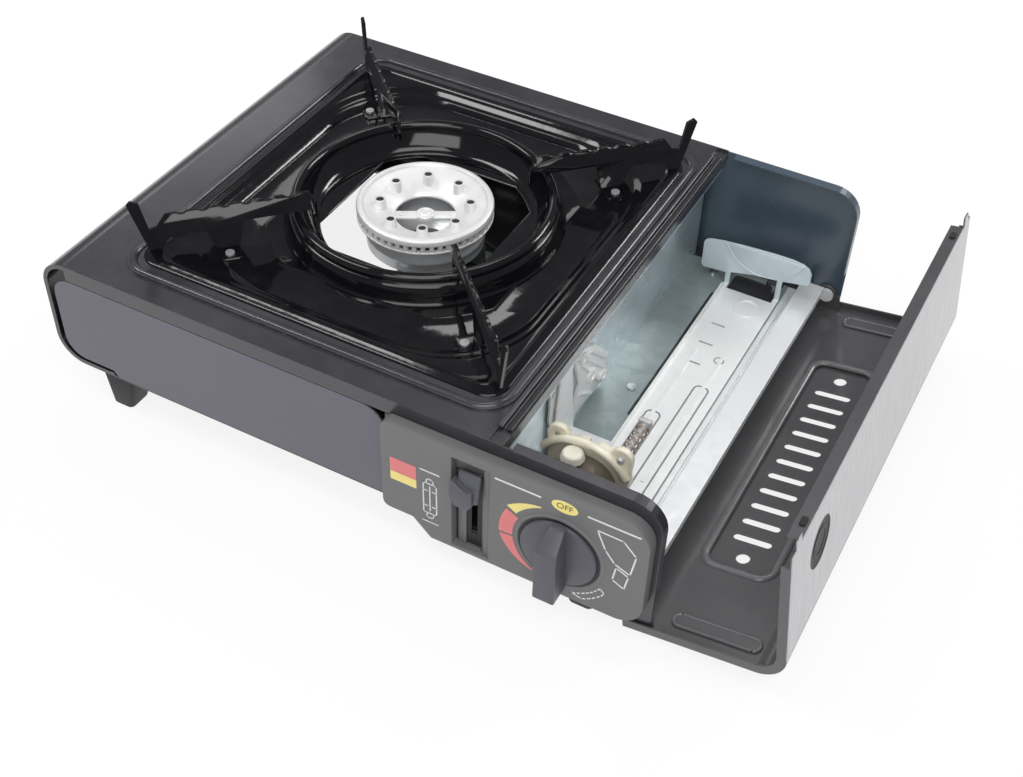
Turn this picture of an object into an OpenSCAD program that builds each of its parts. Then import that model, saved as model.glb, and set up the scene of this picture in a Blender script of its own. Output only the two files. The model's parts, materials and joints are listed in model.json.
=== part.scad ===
// Portable cassette stove: a sheet steel case with a lift-off drip pan on the left and a cartridge bay on the
// right, whose lid lies open. Origin: on the table, under the middle of the stove with its lid open.
// +X right, +Y to the back, +Z up. The modules draw in the case's own frame, and placed() moves them.

/* [Case] */
// Width of the case, without the lid
case_w = 350; // [336:1:370]
// Height of the top deck above the table
deck_z = 89; // [87:0.5:93]
// Height of the case bottom above the table
foot_h = 22; // [20:0.5:24]
// How much lower the bottom lies under the cartridge bay
bay_drop = 6.5; // [6:0.5:7.5]
// Thickness of the steel sheet
sheet_t = 1; // [0.8:0.1:1.2]
// Radius of the rolled left edges of the case
case_r = 16; // [12:1:20]
// Height of the folded lip along the front and the back of the deck
lip_h = 9; // [7:0.5:10]
// Width of the turned-in rim round the ends of the case
rim_w = 2.5; // [2:0.5:4]
// Gap between that rim and the end panels
panel_gap = 3.5; // [2:0.5:5]
// Corner radius of the end panels beside the bay
end_r = 16; // [12:1:20]
// Depth of the turned edge of an end panel
panel_flange = 5.5; // [4:0.5:8]
// Height of the raised bead round the drip pan
bead_h = 1.2; // [0.8:0.1:2]

/* [Feet] */
// Width of a foot at its top
foot_w = 20; // [16:1:24]
// Length of a foot at its top, front to back
foot_l = 22; // [18:1:24]
// Share of the top size left at the bottom of a foot
foot_taper = 0.66; // [0.5:0.02:0.9]
// Distance from the case's side to the middle of a foot
foot_inset = 36; // [34:1:40]
// Radius of the shank of a foot screw
foot_screw_r = 2; // [1.5:0.25:2.5]

/* [Cartridge bay] */
// Width of the bay opening, from the deck edge to the case side
bay_w = 80; // [78:1:84]
// Diameter of the gas cartridge
cartridge_d = 68; // [66:0.5:69]
// Length of the gas cartridge
cartridge_l = 184; // [180:1:186]
// Distance from the deck edge to the middle of the cartridge
cartridge_in = 29.5; // [29.5:0.5:32]
// Distance from the case front to the seat of the cartridge
seat_in = 48.6; // [47:0.2:52]
// Distance from the cartridge stop to the back of the case
stop_in = 27; // [20:0.5:40]
// Thickness of the galvanised sheet
zinc_t = 1; // [0.8:0.1:1.2]
// Distance that the partition stands under the deck edge
partition_in = 10; // [9.5:0.5:10.5]
// Height of the tray's right rail above its floor
rail_h = 7; // [5:0.5:9]
// Width of the slider
slider_w = 34; // [28:1:36]
// Distance from the cartridge's middle to the slider's middle
slider_off = 5; // [4:0.5:6]
// Width of the cartridge stop
stop_w = 66; // [58:1:68]
// Height of the cartridge stop above the slider
stop_h = 33; // [29:1:35]
// Radius of the round pressing in the cartridge stop
stop_dish_r = 26; // [22:1:27]
// Height of the upright edge along the left side of the slider
slider_fold_h = 3; // [2:0.5:5]

/* [Regulator] */
// Radius of the regulator housing
reg_r = 16; // [14.5:0.5:16.5]
// Outer radius of the arched cartridge guide
guide_r = 20.5; // [19.5:0.5:22]
// Width of the arch of the guide
guide_band = 3.5; // [3:0.5:5]
// Distance from the guide plate to the seat of the cartridge
guide_back = 17.6; // [16:0.2:18]
// Distance of an ear of the guide from the middle
ear_dx = 16.3; // [15.5:0.1:17]
// Height of an ear of the guide above the cartridge's axis
ear_dz = 22; // [21:0.5:23]
// Radius of the bore that takes the cartridge valve
socket_r = 4; // [3.5:0.1:4.5]
// Depth of that bore
socket_len = 9; // [6:0.5:10]
// Outer radius of the nozzle round that bore
nozzle_r = 7; // [6:0.25:8]
// Outer radius of the gas pipe
pipe_r = 2.5; // [2:0.25:3]
// Bend radius of the gas pipe
bend_r = 10; // [8:1:12]

/* [Burner] */
// Radius of the burner cap
cap_r = 37; // [33:0.5:40]
// Height of the top of the cap above the deck
cap_rise = 6; // [3:0.5:8]
// Thickness of the burner cap at its rim
cap_h = 9; // [7:0.5:11]
// Radius of the burner bowl
bowl_r = 31; // [26:0.5:32]
// Height of the straight wall of the bowl
bowl_h = 20; // [16:0.5:24]
// Radius of the recess in the middle of the cap
hub_r = 16; // [13:0.5:18]
// Number of raised flame ports on the cap
crown_ports = 8; // [6:1:10]
// Number of flame slots round the rim
rim_ports = 40; // [24:4:48]
// Outer radius of the mixing tube
mixer_r = 9; // [7:0.5:10]

/* [Drip pan] */
// Distance from the drip pan to the left side of the case
pan_left = 43.4; // [38:0.2:50]
// Distance from the drip pan to the front and the back of the case
pan_ends = 23; // [18:0.5:28]
// Distance from the drip pan to the deck edge beside the bay
pan_margin = 14.6; // [12:0.2:18]
// Depth of the dished middle of the pan
dish_depth = 6; // [4:0.5:8]
// Width of the flat rim round the dish
pan_rim = 8; // [6:0.5:12]
// Radius of the hole for the burner
pan_hole_r = 56; // [50:0.5:60]
// Inner radius of the wind ring's crest
ring_in_r = 66; // [60:0.5:68]
// Outer radius of the wind ring at its foot
ring_out_r = 76; // [72:0.5:80]
// Height of the wind ring above the deck
ring_rise = 11; // [8:0.5:14]
// Height at which a pot sits above the deck
pot_rise = 23; // [20:0.5:26]
// Height of the upright tips of the supports above the deck
tip_rise = 32.5; // [28:0.5:36]
// Distance from the outer foot of a support to the raised edge of the pan
support_gap = 1.2; // [0.8:0.1:3]
// Thickness of a pan support
support_t = 1.6; // [1.2:0.1:2]

/* [Lid] */
// Radius of the corner between the lid's two panels
lid_r = 15; // [12:0.5:18]
// Gap between the closed lid and the case end panels, at the side
lid_gap = 2.6; // [1.5:0.1:4]
// Distance of the hinge pins from the case side
hinge_in = 7; // [6:0.25:8]
// Height of the hinge pins above the table
hinge_z = 15.5; // [14:0.25:17]
// Radius of the hinge pins
hinge_r = 2.5; // [2:0.25:3]
// Angle through which the lid opens
lid_angle = 82.7; // [75:0.1:90]
// Number of slots in the lid
slot_count = 11; // [7:2:13]
// Spacing of the slots
slot_pitch = 12; // [10:0.5:13]
// Length of a slot
slot_len = 20; // [14:0.5:24]
// Width of a slot
slot_w = 4.4; // [3:0.2:6]

/* [Controls] */
// Thickness of the control panel
panel_t = 7.5; // [6:0.5:10]
// Wall of the control panel moulding
panel_wall = 2.2; // [1.8:0.1:3]
// Distance from the left side of the control panel to the case side
panel_w = 140.7; // [134:0.1:146]
// Height of the middle of the knob above the table
knob_z = 43.8; // [42:0.2:46]
// Distance of the knob's middle from the case side
knob_in = 45; // [43:0.5:48]
// Radius of the knob's dial
knob_r = 21.4; // [18:0.2:23]
// Thickness of the knob's dial
knob_t = 3; // [2.5:0.5:6]
// Height of the knob's grip above its dial
grip_h = 12; // [8:0.5:14]
// Width of the knob's grip
grip_w = 11; // [8:0.5:14]
// Radius of the valve spindle
spindle_r = 3; // [2.5:0.25:4]
// Distance from the middle of the lock lever to the partition
lever_gap = 2; // [1.9:0.1:2.6]
// Thickness of the lock lever's arm
lever_t = 2.5; // [2:0.1:2.6]
// Width of the channel that the lever moves in
channel_w = 20; // [18:0.5:21]
// Width of the lever's head
lever_w = 14; // [11:0.5:17]
// Half of the angle through which the lock lever swings
lever_half = 11.5; // [9:0.5:12]
// Height of the lever's shaft above the table
pivot_z = 46; // [44:0.5:48]
// Distance of the lever's shaft from the case front
pivot_in = 73; // [70:1:76]
// Distance from the lever's shaft to the crank pin
crank_r = 26; // [23:0.5:27]

/* [Fits] */
// Running clearance of a pin in its hole, on the radius
pin_gap = 0.08; // [0.05:0.01:0.1]
// Gap between parts that slide or swing past each other
slide_gap = 0.6; // [0.4:0.05:0.8]
// Clearance of a hole that a tube or a wire passes through
pass_gap = 1; // [0.6:0.1:1.4]

/* [Hidden] */

$fn = 48;
eps = 0.01;
coarse_fn = 32;

crank_travel = 2 * crank_r * sin(lever_half);
case_d = seat_in + cartridge_l + crank_travel + stop_in;
case_x = case_w / 2;
case_y = case_d / 2;
floor_z = foot_h + sheet_t;
bay_x = case_x - bay_w;
bay_low_z = foot_h - bay_drop;
bay_floor_z = bay_low_z + sheet_t;
cartridge_r = cartridge_d / 2;
tray_z = bay_floor_z + zinc_t;
slider_z = tray_z + slide_gap;
axis_x = bay_x + cartridge_in;
slider_x = axis_x + slider_off;
axis_z = slider_z + zinc_t + slide_gap + cartridge_r;
seat_y = -case_y + seat_in;
pan_w = case_w - bay_w - pan_margin - pan_left;
pan_l = case_d - 2 * pan_ends;
pan_x = bay_x - pan_margin - pan_w / 2;
pin_x = case_x - hinge_in;
front_y = -case_y - panel_t;
knob_x = case_x - knob_in;
pivot_y = -case_y + pivot_in;
partition_x = bay_x - partition_in;
lever_x = partition_x - lever_gap;
step_x = partition_x - 1;

// Fold at the right end of the case bottom
fold_x = pin_x - 10;
fold_h = rail_h + zinc_t - 1;
// Ledge along the deck edge that the closed lid lies over
ledge_w = 7;
ledge_drop = 1.5;
deck_fold_h = 8;
lip_z = deck_z - lip_h;
end_top_z = deck_z - 0.5;
end_x = case_x + 1;
ear_z = hinge_z - 6.5;
ear_x = pin_x - 9;
inset = rim_w + panel_gap;
step_in = 30;
panel_top_z = lip_z - 0.6;

// Cartridge stop and crank
stop_y = seat_y + cartridge_l + crank_travel;
crank_t = 1.2;
crank_x = partition_x + zinc_t + 0.8;
arm_x = crank_x + crank_t + slide_gap;

// Half the height that the lever's arm sweeps where it passes the front
lever_reach = pivot_in * sin(lever_half) + 5.5;

// Lid, drawn closed
lid_t = sheet_t;
lid_top_z = end_top_z + 0.4 + lid_t;
lid_side_x = end_x + lid_gap + lid_t;
lid_left_x = bay_x + 3.5;
lid_half = case_y + 1.5;
lid_foot_z = hinge_z - 6.5;
lid_hem = 5;
tab_y = case_y - sheet_t - slide_gap - lid_t;

// Reach of the open lid to the right, and of the knob to the front
bend_x = (lid_side_x - lid_r - pin_x) * cos(lid_angle) + (lid_top_z - lid_r - hinge_z) * sin(lid_angle);
lid_reach = pin_x + bend_x + lid_r;
knob_reach = front_y - knob_t - grip_h;
middle_x = (lid_reach - case_x) / 2;
middle_y = (lid_half + knob_reach) / 2;

// ---- Shared shapes ----

// Points of an arc round (cx, cy) from angle a0 to a1
function arc(cx, cy, r, a0, a1, n = 8) = [for (i = [0:n]) let (a = a0 + (a1 - a0) * i / n)
    [cx + r * cos(a), cy + r * sin(a)]];

module rounded_rect(w, l, r) {
    square([w - 2 * r, l], center = true);
    square([w, l - 2 * r], center = true);
    for (sx = [-1, 1], sy = [-1, 1]) {
        translate([sx * (w / 2 - r), sy * (l / 2 - r)]) circle(r = r);
    }
}

module rounded_plate(w, l, r, t) {
    linear_extrude(t) rounded_rect(w, l, r);
}

// A flat shape in X and Z, made solid from y0 to y1
module along_y(y0, y1) {
    translate([0, y1, 0]) rotate([90, 0, 0]) linear_extrude(y1 - y0) children();
}

// A flat shape in Y and Z, made solid from x0 to x1
module along_x(x0, x1) {
    translate([x0, 0, 0]) rotate([90, 0, 90]) linear_extrude(x1 - x0) children();
}

module rod_y(x, z, r, y0, y1) {
    translate([x, y1, z]) rotate([90, 0, 0]) cylinder(r = r, h = y1 - y0);
}

module rod_x(y, z, r, x0, x1) {
    translate([x0, y, z]) rotate([0, 90, 0]) cylinder(r = r, h = x1 - x0);
}

module rod_z(x, y, r, z0, z1) {
    translate([x, y, z0]) cylinder(r = r, h = z1 - z0);
}

// A slot in X and Z with round ends
module slot_2d(len, w) {
    square([len - w, w], center = true);
    for (s = [-1, 1]) translate([s * (len - w) / 2, 0]) circle(d = w);
}

// Moves a piece from the case's frame to the stove's
module placed() {
    translate([-middle_x, -middle_y, 0]) children();
}

// ---- Case ----

// Section of the case, moved inwards by d, up to right_x
module case_section(d, right_x) {
    r = case_r - d;
    left = -case_x + d;
    low = foot_h + d;
    high = deck_z - d;
    translate([left + r, low]) square([right_x - left - r, high - low]);
    translate([left, low + r]) square([r + eps, high - low - 2 * r]);
    translate([left + r, low + r]) circle(r = r);
    translate([left + r, high - r]) circle(r = r);
}

module case_sheet_2d() {
    difference() {
        case_section(0, bay_x);
        case_section(sheet_t, bay_x + 1);
        translate([bay_x - ledge_w, deck_z - ledge_drop]) square([case_w, lip_h * 4]);
        translate([step_x, 0]) square([case_w, deck_z / 2]);
    }
    // Step down to the ledge, and the fold beside the bay
    translate([bay_x - ledge_w - sheet_t, deck_z - ledge_drop - sheet_t]) square([sheet_t, ledge_drop + sheet_t]);
    translate([bay_x - ledge_w - sheet_t, deck_z - ledge_drop - sheet_t]) square([ledge_w + sheet_t, sheet_t]);
    translate([bay_x - sheet_t, deck_z - deck_fold_h]) square([sheet_t, deck_fold_h - ledge_drop]);
    // Step down to the bottom under the bay, and its upright fold at the right
    translate([step_x - sheet_t, bay_low_z]) square([sheet_t, floor_z - bay_low_z]);
    translate([step_x - sheet_t, bay_low_z]) square([fold_x - step_x + sheet_t, sheet_t]);
    translate([fold_x - sheet_t, bay_low_z]) square([sheet_t, fold_h + sheet_t]);
}

module case_rim_2d() {
    difference() {
        case_section(0, bay_x);
        case_section(rim_w, bay_x + 1);
        translate([-case_x + inset + step_in, foot_h - 1]) square([case_w, (deck_z - foot_h) / 2]);
    }
    difference() {
        case_section(0, bay_x);
        translate([-case_x, 0]) square([case_w, lip_z]);
        translate([-case_x, 0]) square([case_r, deck_z + 1]);
        translate([bay_x - ledge_w, deck_z - ledge_drop]) square([ledge_w + 1, ledge_drop + 1]);
    }
}

// Round-ended slots that let air in under the burner
vent_w = 92;
vent_l = 190;
vent_x = -case_x + 34 + vent_w / 2;
fold_relief = 4;

module outer_case() {
    color("#26262a") {
        difference() {
            along_y(-case_y, case_y) case_sheet_2d();
            translate([pan_x, 0, deck_z - 4 * sheet_t])
                rounded_plate(pan_w - 2 * pan_rim + 6, pan_l - 2 * pan_rim + 6, 40, 6 * sheet_t);
            translate([vent_x, 0, foot_h - 1]) rounded_plate(vent_w, vent_l, 14, 3 * sheet_t);
            foot_places() cylinder(r = foot_screw_r + pin_gap, h = floor_z + 1);
            // The upright fold stops short of the end panels
            for (s = [-1, 1]) translate([fold_x, s * case_y, bay_floor_z + 2 * fold_h])
                cube([3 * sheet_t, 2 * fold_relief, 4 * fold_h - eps], center = true);
        }
        for (s = [-1, 1]) {
            along_y(s * (case_y - sheet_t / 2) - sheet_t / 2, s * (case_y - sheet_t / 2) + sheet_t / 2)
                case_rim_2d();
        }
        // Bead round the drip pan
        translate([pan_x, 0, deck_z - eps]) linear_extrude(bead_h + eps) difference() {
            rounded_rect(pan_w + 13, pan_l + 19, 18);
            rounded_rect(pan_w + 8, pan_l + 14, 15.5);
        }
    }
}

module foot_places() {
    for (sx = [-1, 1], sy = [-1, 1]) {
        translate([sx * (case_x - foot_inset), sy * (case_y - 1 - foot_l / 2), 0]) children();
    }
}

// Height of the case bottom over a foot on the left or right
function foot_top(sx) = sx > 0 ? bay_low_z : foot_h;

module foot_at(sx, sy) {
    top = foot_top(sx);
    color("#1b1b1d") translate([sx * (case_x - foot_inset), sy * (case_y - 1 - foot_l / 2), 0]) difference() {
        hull() {
            translate([0, 0, top - 1]) linear_extrude(1) rounded_rect(foot_w, foot_l, 3, $fn = coarse_fn);
            translate([0, sy * foot_l * (1 - foot_taper) / 2, 0])
                linear_extrude(1) rounded_rect(foot_w * foot_taper, foot_l * foot_taper, 3, $fn = coarse_fn);
        }
        translate([0, 0, top - 12]) cylinder(r = foot_screw_r + pin_gap, h = 13);
    }
}

module foot_1() { foot_at(-1, -1); }
module foot_2() { foot_at(1, -1); }
module foot_3() { foot_at(1, 1); }
module foot_4() { foot_at(-1, 1); }

module foot_screws() {
    color("#b8b8b8") for (sx = [-1, 1], sy = [-1, 1]) {
        translate([sx * (case_x - foot_inset), sy * (case_y - 1 - foot_l / 2), foot_top(sx)]) {
            translate([0, 0, -11]) cylinder(r = foot_screw_r, h = 11 + sheet_t);
            translate([0, 0, sheet_t]) cylinder(r = foot_screw_r * 2.1, h = 2);
        }
    }
}

// Outline of the pressed end panel left of the bay
module left_panel_2d(right_x, r_right) {
    left = -case_x + inset;
    polygon(concat(
        arc(left + 12, floor_z + panel_gap + 12, 12, 180, 270),
        [[left + step_in, floor_z + panel_gap], [left + step_in + 3, floor_z], [right_x, floor_z]],
        arc(right_x - r_right, panel_top_z - r_right, r_right, 0, 90),
        arc(left + 12, panel_top_z - 12, 12, 90, 180)));
}

module front_panel() {
    right_x = case_x - panel_w - 1.3;
    color("#4a484f") {
        along_y(-case_y, -case_y + sheet_t) left_panel_2d(right_x, 14);
        // Folds along the top and the bottom
        translate([-case_x + inset + 14, -case_y, panel_top_z - sheet_t])
            cube([right_x + case_x - inset - 30, panel_flange, sheet_t]);
        translate([-case_x + inset + 34, -case_y, floor_z])
            cube([right_x + case_x - inset - 34, panel_flange, sheet_t]);
    }
}

// Outline of an end panel beside the bay, with the ear for the hinge pin
module bay_end_2d(left_x, d) {
    r = end_r - d;
    ear_r = 5;
    polygon(concat(
        [[left_x, floor_z + d], [step_x, floor_z + d], [step_x, bay_floor_z + d]],
        [[ear_x + d, bay_floor_z + d], [ear_x + d, ear_z + d + ear_r]],
        arc(ear_x + d + ear_r, ear_z + d + ear_r, ear_r, 180, 270, 6),
        arc(end_x - d - ear_r, ear_z + d + ear_r, ear_r, 270, 360, 6),
        arc(end_x - end_r, end_top_z - end_r, r, 0, 90),
        [[bay_x + 0.1, end_top_z - d], [bay_x + 0.1, panel_top_z - d], [left_x, panel_top_z - d]]));
}

// Turned edge of an end panel, round the bay's upper right corner
module bay_edge_2d() {
    intersection() {
        difference() {
            bay_end_2d(bay_x - 10, 0);
            bay_end_2d(bay_x - 12, sheet_t);
        }
        translate([bay_x + 5, foot_h + 12]) square([bay_w + 5, deck_z]);
    }
}

module front_bulkhead() {
    left_x = case_x - panel_w - 1.3;
    color("#3a3b40") {
        difference() {
            along_y(-case_y, -case_y + sheet_t) bay_end_2d(left_x, 0);
            rod_y(pin_x, hinge_z, hinge_r + pin_gap, -case_y - 1, -case_y + 2);
            rod_y(knob_x, knob_z, spindle_r + pass_gap, -case_y - 1, -case_y + 2);
            translate([lever_x - 6, -case_y - 1, pivot_z - lever_reach]) cube([12, 3 * sheet_t, 2 * lever_reach]);
        }
        along_y(-case_y, -case_y + panel_flange) bay_edge_2d();
        translate([left_x, -case_y, floor_z]) cube([sheet_t, panel_flange, panel_top_z - floor_z]);
    }
}

module rear_panel() {
    left = -case_x + inset;
    vent_rows = 2;
    vent_cols = 7;
    color("#26262a") {
        difference() {
            along_y(case_y - sheet_t, case_y) union() {
                left_panel_2d(bay_x - 10, eps);
                bay_end_2d(bay_x - 10 - eps, 0);
            }
            rod_y(pin_x, hinge_z, hinge_r + pin_gap, case_y - 2, case_y + 1);
            for (i = [0:vent_cols - 1], j = [0:vent_rows - 1]) {
                along_y(case_y - 2, case_y + 1) translate([left + 50 + 24 * i, 40 + 16 * j]) slot_2d(16, 4);
            }
        }
        along_y(case_y - panel_flange, case_y) bay_edge_2d();
        translate([left + 34, case_y - panel_flange, floor_z]) cube([step_x - left - 36, panel_flange, sheet_t]);
    }
}

module case_rivets() {
    head_r = 2.6;
    head_t = 1.2;
    color("#c9c9c9") {
        for (x = [-case_x + inset + 45, pan_x, bay_x - 30]) {
            rod_y(x, floor_z + 8, head_r, case_y, case_y + head_t);
        }
        for (y = [-case_y + 24, 0, case_y - 20]) {
            rod_z(bay_x + 8, y, head_r, tray_z, tray_z + head_t);
        }
    }
}

// ---- Cartridge bay ----

module partition() {
    top_z = deck_z - deck_fold_h;
    color("#c3ced3") difference() {
        union() {
            translate([partition_x, -case_y + panel_flange + 1, bay_floor_z])
                cube([zinc_t, case_d - 2 * panel_flange - 2, top_z - bay_floor_z]);
            translate([partition_x, -case_y + panel_flange + 1, top_z - zinc_t])
                cube([partition_in, case_d - 2 * panel_flange - 2, zinc_t]);
        }
        rod_x(pivot_y, pivot_z, 4 + pin_gap, partition_x - 1, partition_x + 2);
        rod_x(pipe_y, pipe_z, pipe_r + pass_gap, partition_x - 1, partition_x + 2);
        rod_x(lead_y, lead_z, 1.2 + pass_gap, partition_x - 1, partition_x + 2);
        for (i = [0:3]) {
            along_x(partition_x - 1, partition_x + 2) translate([20 + 26 * i, floor_z + 38]) slot_2d(18, 3.5);
        }
    }
}

// Floor, left fold and right rail of the tray
module tray_2d() {
    left = partition_x + zinc_t;
    rail_x = fold_x - sheet_t - 1;
    top = tray_z + rail_h;
    translate([left, bay_floor_z]) square([rail_x - left, zinc_t]);
    polygon([[rail_x - 4, bay_floor_z], [rail_x - 4, tray_z], [rail_x - 1 - zinc_t, top + zinc_t],
        [pin_x - 0.6, top + zinc_t], [pin_x - 0.6, top - 4], [pin_x - 0.6 - zinc_t, top - 4],
        [pin_x - 0.6 - zinc_t, top], [rail_x - 1, top], [rail_x, tray_z - zinc_t]]);
}

module cartridge_tray() {
    y0 = -case_y + panel_flange + 5;
    y1 = case_y - panel_flange - 5;
    window_l = 17;
    slot_l = 118;
    color("#cdd6da") difference() {
        union() {
            along_y(y0, y1) tray_2d();
            // Raised rib beside the slider
            translate([slider_x + slider_w / 2 + 2.4, (y0 + y1) / 2, tray_z - eps])
                rounded_plate(2.6, y1 - y0 - 16, 1.2, 1.4);
        }
        // Window under the stop, and the slot along the slider's left edge
        translate([slider_x, stop_y - 4 + window_l / 2, bay_floor_z - 1]) rounded_plate(slider_w - 6, window_l, 3, 3);
        translate([slider_x - slider_w / 2 - 1.6, stop_y - 10 - slot_l / 2, bay_floor_z - 1])
            rounded_plate(3.4, slot_l, 1.6, 3);
        foot_places() cylinder(r = foot_screw_r * 2.1 + pass_gap, h = tray_z + 1);
    }
}

module slider_rail() {
    y0 = pivot_y - 20;
    left = slider_x - slider_w / 2;
    arm_w = 26;
    pin_y = pivot_y + crank_r * sin(lever_half);
    pin_z = pivot_z + crank_r * cos(lever_half);
    swing = crank_r * (1 - cos(lever_half));
    top = pin_z + swing + 5;
    notch_l = 4.5;
    ring_r = 8;
    color("#d5dde0") difference() {
        union() {
            translate([left, y0, slider_z]) cube([slider_w, stop_y - y0, zinc_t]);
            // Arm that the crank pushes
            translate([arm_x, pin_y - arm_w / 2, slider_z]) cube([left - arm_x + eps, arm_w, zinc_t]);
            along_x(arm_x, arm_x + zinc_t) polygon([[pin_y - arm_w / 2, slider_z], [pin_y + arm_w / 2, slider_z],
                [pin_y + 5, top], [pin_y - 5, top]]);
            // Upright edge at the left
            translate([left, y0, slider_z]) cube([zinc_t, stop_y - y0 - notch_l, slider_fold_h + zinc_t]);
            // Stiffening ribs and a pressed ring
            for (x = [-8, 8]) {
                translate([slider_x + x, (y0 + stop_y) / 2 - 20, slider_z + zinc_t - eps])
                    rounded_plate(2, stop_y - y0 - 80, 0.9, 0.5 + eps);
            }
            translate([slider_x + 4, stop_y - 2 * ring_r, slider_z + zinc_t - eps]) difference() {
                cylinder(r = ring_r, h = 0.6);
                translate([0, 0, -1]) cylinder(r = ring_r - 1.6, h = 3);
            }
        }
        along_x(arm_x - 1, arm_x + zinc_t + 1) translate([pin_y, pin_z + swing / 2])
            rotate(90) slot_2d(2 * (1.8 + pin_gap) + swing + 1, 2 * (1.8 + pin_gap));
        // Notch before the stop
        translate([slider_x - slider_w / 2 + 3, stop_y - notch_l, slider_z - 1]) cube([slider_w - 6, notch_l + 1, 3]);
    }
}

module cartridge_stop() {
    base = slider_z + zinc_t;
    dish_z = axis_z + 5.5;
    side_h = stop_h - 8;
    low_h = 10;
    leg_w = 3;
    top_r = (stop_w * stop_w / 4 + (stop_h - side_h) * (stop_h - side_h)) / 2 / (stop_h - side_h);
    top_a = asin(stop_w / 2 / top_r);
    color("#c7d2d8") difference() {
        union() {
            along_y(stop_y, stop_y + zinc_t) {
                polygon(concat(
                    [[slider_x - stop_w / 2, base + low_h], [slider_x + stop_w / 2, base + low_h + 2]],
                    arc(slider_x, base + stop_h - top_r, top_r, 90 - top_a, 90 + top_a, 16)));
                for (s = [-1, 1]) translate([slider_x + s * (slider_w - leg_w) / 2 - leg_w / 2, slider_z])
                    square([leg_w, low_h + 4]);
            }
            // Round pressing that the bottom of the cartridge meets
            rod_y(slider_x, dish_z, stop_dish_r + 1, stop_y + zinc_t - eps, stop_y + zinc_t + 1.4);
        }
        rod_y(slider_x, dish_z, stop_dish_r, stop_y - 1, stop_y + 1.4);
        translate([slider_x - stop_w, stop_y - 2, base + stop_h - 3]) cube([2 * stop_w, 8, 60]);
    }
}

// ---- Regulator ----

pipe_y = -case_y + 23;
pipe_z = floor_z + 1 + pipe_r;
lead_y = -case_y + 39;
lead_z = floor_z + 7;
guide_y = seat_y - guide_back;
guide_t = 3;
collar_t = 5;
reg_y0 = -case_y + sheet_t;
housing_t = 16;
valve_r = 11;
cover_r = 6.2;
cover_t = 4;
cover_x = axis_x - 5;
cover_y = guide_y - 0.8 - cover_r;
cover_z = axis_z + 18.8;
outlet_x = axis_x - 9;
piezo_x = knob_x + 21;
piezo_z = knob_z;
piezo_l = 20;
piezo_tip = 5;

module regulator_body() {
    color("#b9b3a2") difference() {
        union() {
            // Flange on the bulkhead
            along_y(reg_y0, reg_y0 + 3) translate([axis_x + 2, axis_z - 6]) rounded_rect(32, 40, 6);
            rod_y(axis_x, axis_z, reg_r, guide_y - housing_t, guide_y);
            rod_y(knob_x, knob_z, valve_r, reg_y0, guide_y - housing_t / 2);
            // Neck under the cover, and the gas outlet
            rod_z(cover_x, cover_y, cover_r - 1.6, axis_z, cover_z);
            rod_z(outlet_x, pipe_y, 2 * pipe_r, pipe_z - pipe_r - 0.5, axis_z);
        }
        rod_y(knob_x, knob_z, spindle_r + pin_gap, -case_y - 1, reg_y0 + 24);
        rod_y(axis_x, axis_z, nozzle_r - 2 + pin_gap, guide_y - 8, guide_y + 1);
        rod_x(pipe_y, pipe_z, pipe_r + pin_gap, outlet_x - 3 * pipe_r, outlet_x);
    }
}

module regulator_cover() {
    color("#d8d2bd") translate([cover_x, cover_y, cover_z]) rotate_extrude() polygon([
        [0, 0], [cover_r - 0.6, 0], [cover_r, 0.6], [cover_r, cover_t - 1], [cover_r - 1, cover_t], [0, cover_t]]);
}

// Plate of the guide: a disc, cut level at the bottom, with an ear and a leg on each side
module guide_plate_2d() {
    ear_r = 5.5;
    cut_z = -5;
    leg_w = 7;
    difference() {
        circle(r = guide_r, $fn = 72);
        translate([-2 * guide_r, cut_z - 2 * guide_r]) square([4 * guide_r, 2 * guide_r]);
    }
    for (s = [-1, 1]) {
        translate([s * ear_dx, ear_dz]) circle(r = ear_r);
        polygon([[s * (ear_dx + ear_r), ear_dz], [s * (ear_dx - ear_r), ear_dz], [s * ear_r, guide_r - 4],
            [s * ear_r, cut_z], [s * guide_r, cut_z]]);
        translate([s * (guide_r - leg_w / 2) - leg_w / 2, tray_z - axis_z]) square([leg_w, axis_z - tray_z]);
    }
}

module cartridge_guide() {
    color("#dcd3ae") difference() {
        along_y(guide_y, guide_y + guide_t) translate([axis_x, axis_z]) guide_plate_2d();
        rod_y(axis_x, axis_z, nozzle_r - 2 + pin_gap, guide_y - 1, guide_y + guide_t + 1);
        for (s = [-1, 1]) rod_y(axis_x + s * ear_dx, axis_z + ear_dz, push_rod_r + pin_gap, guide_y - 1,
            guide_y + guide_t + 1);
    }
    // Raised arch that centres the collar of the cartridge, with the notch at its top
    color("#dcd3ae") along_y(guide_y + guide_t - eps, guide_y + guide_t + collar_t) translate([axis_x, axis_z])
        difference() {
            circle(r = guide_r, $fn = 72);
            circle(r = guide_r - guide_band, $fn = 72);
            translate([-2 * guide_r, -2 * guide_r]) square([4 * guide_r, 2 * guide_r + 2]);
            translate([-2.5, guide_r - guide_band - 1]) square([5, guide_band + 3]);
        }
}

module inlet_nozzle() {
    color("#e6dfc4") difference() {
        union() {
            rod_y(axis_x, axis_z, nozzle_r - 2, guide_y - 7, guide_y + guide_t);
            rod_y(axis_x, axis_z, nozzle_r, guide_y + guide_t, seat_y);
        }
        rod_y(axis_x, axis_z, socket_r, seat_y - socket_len, seat_y + 1);
        rod_y(axis_x, axis_z, socket_r - 2.2, guide_y - 8, seat_y);
    }
}

module socket_seal() {
    color("#151515") difference() {
        rod_y(axis_x, axis_z, nozzle_r + 2.2, guide_y + guide_t, guide_y + guide_t + 2);
        rod_y(axis_x, axis_z, nozzle_r + 0.02, guide_y, guide_y + 2 * guide_t);
    }
}

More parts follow.
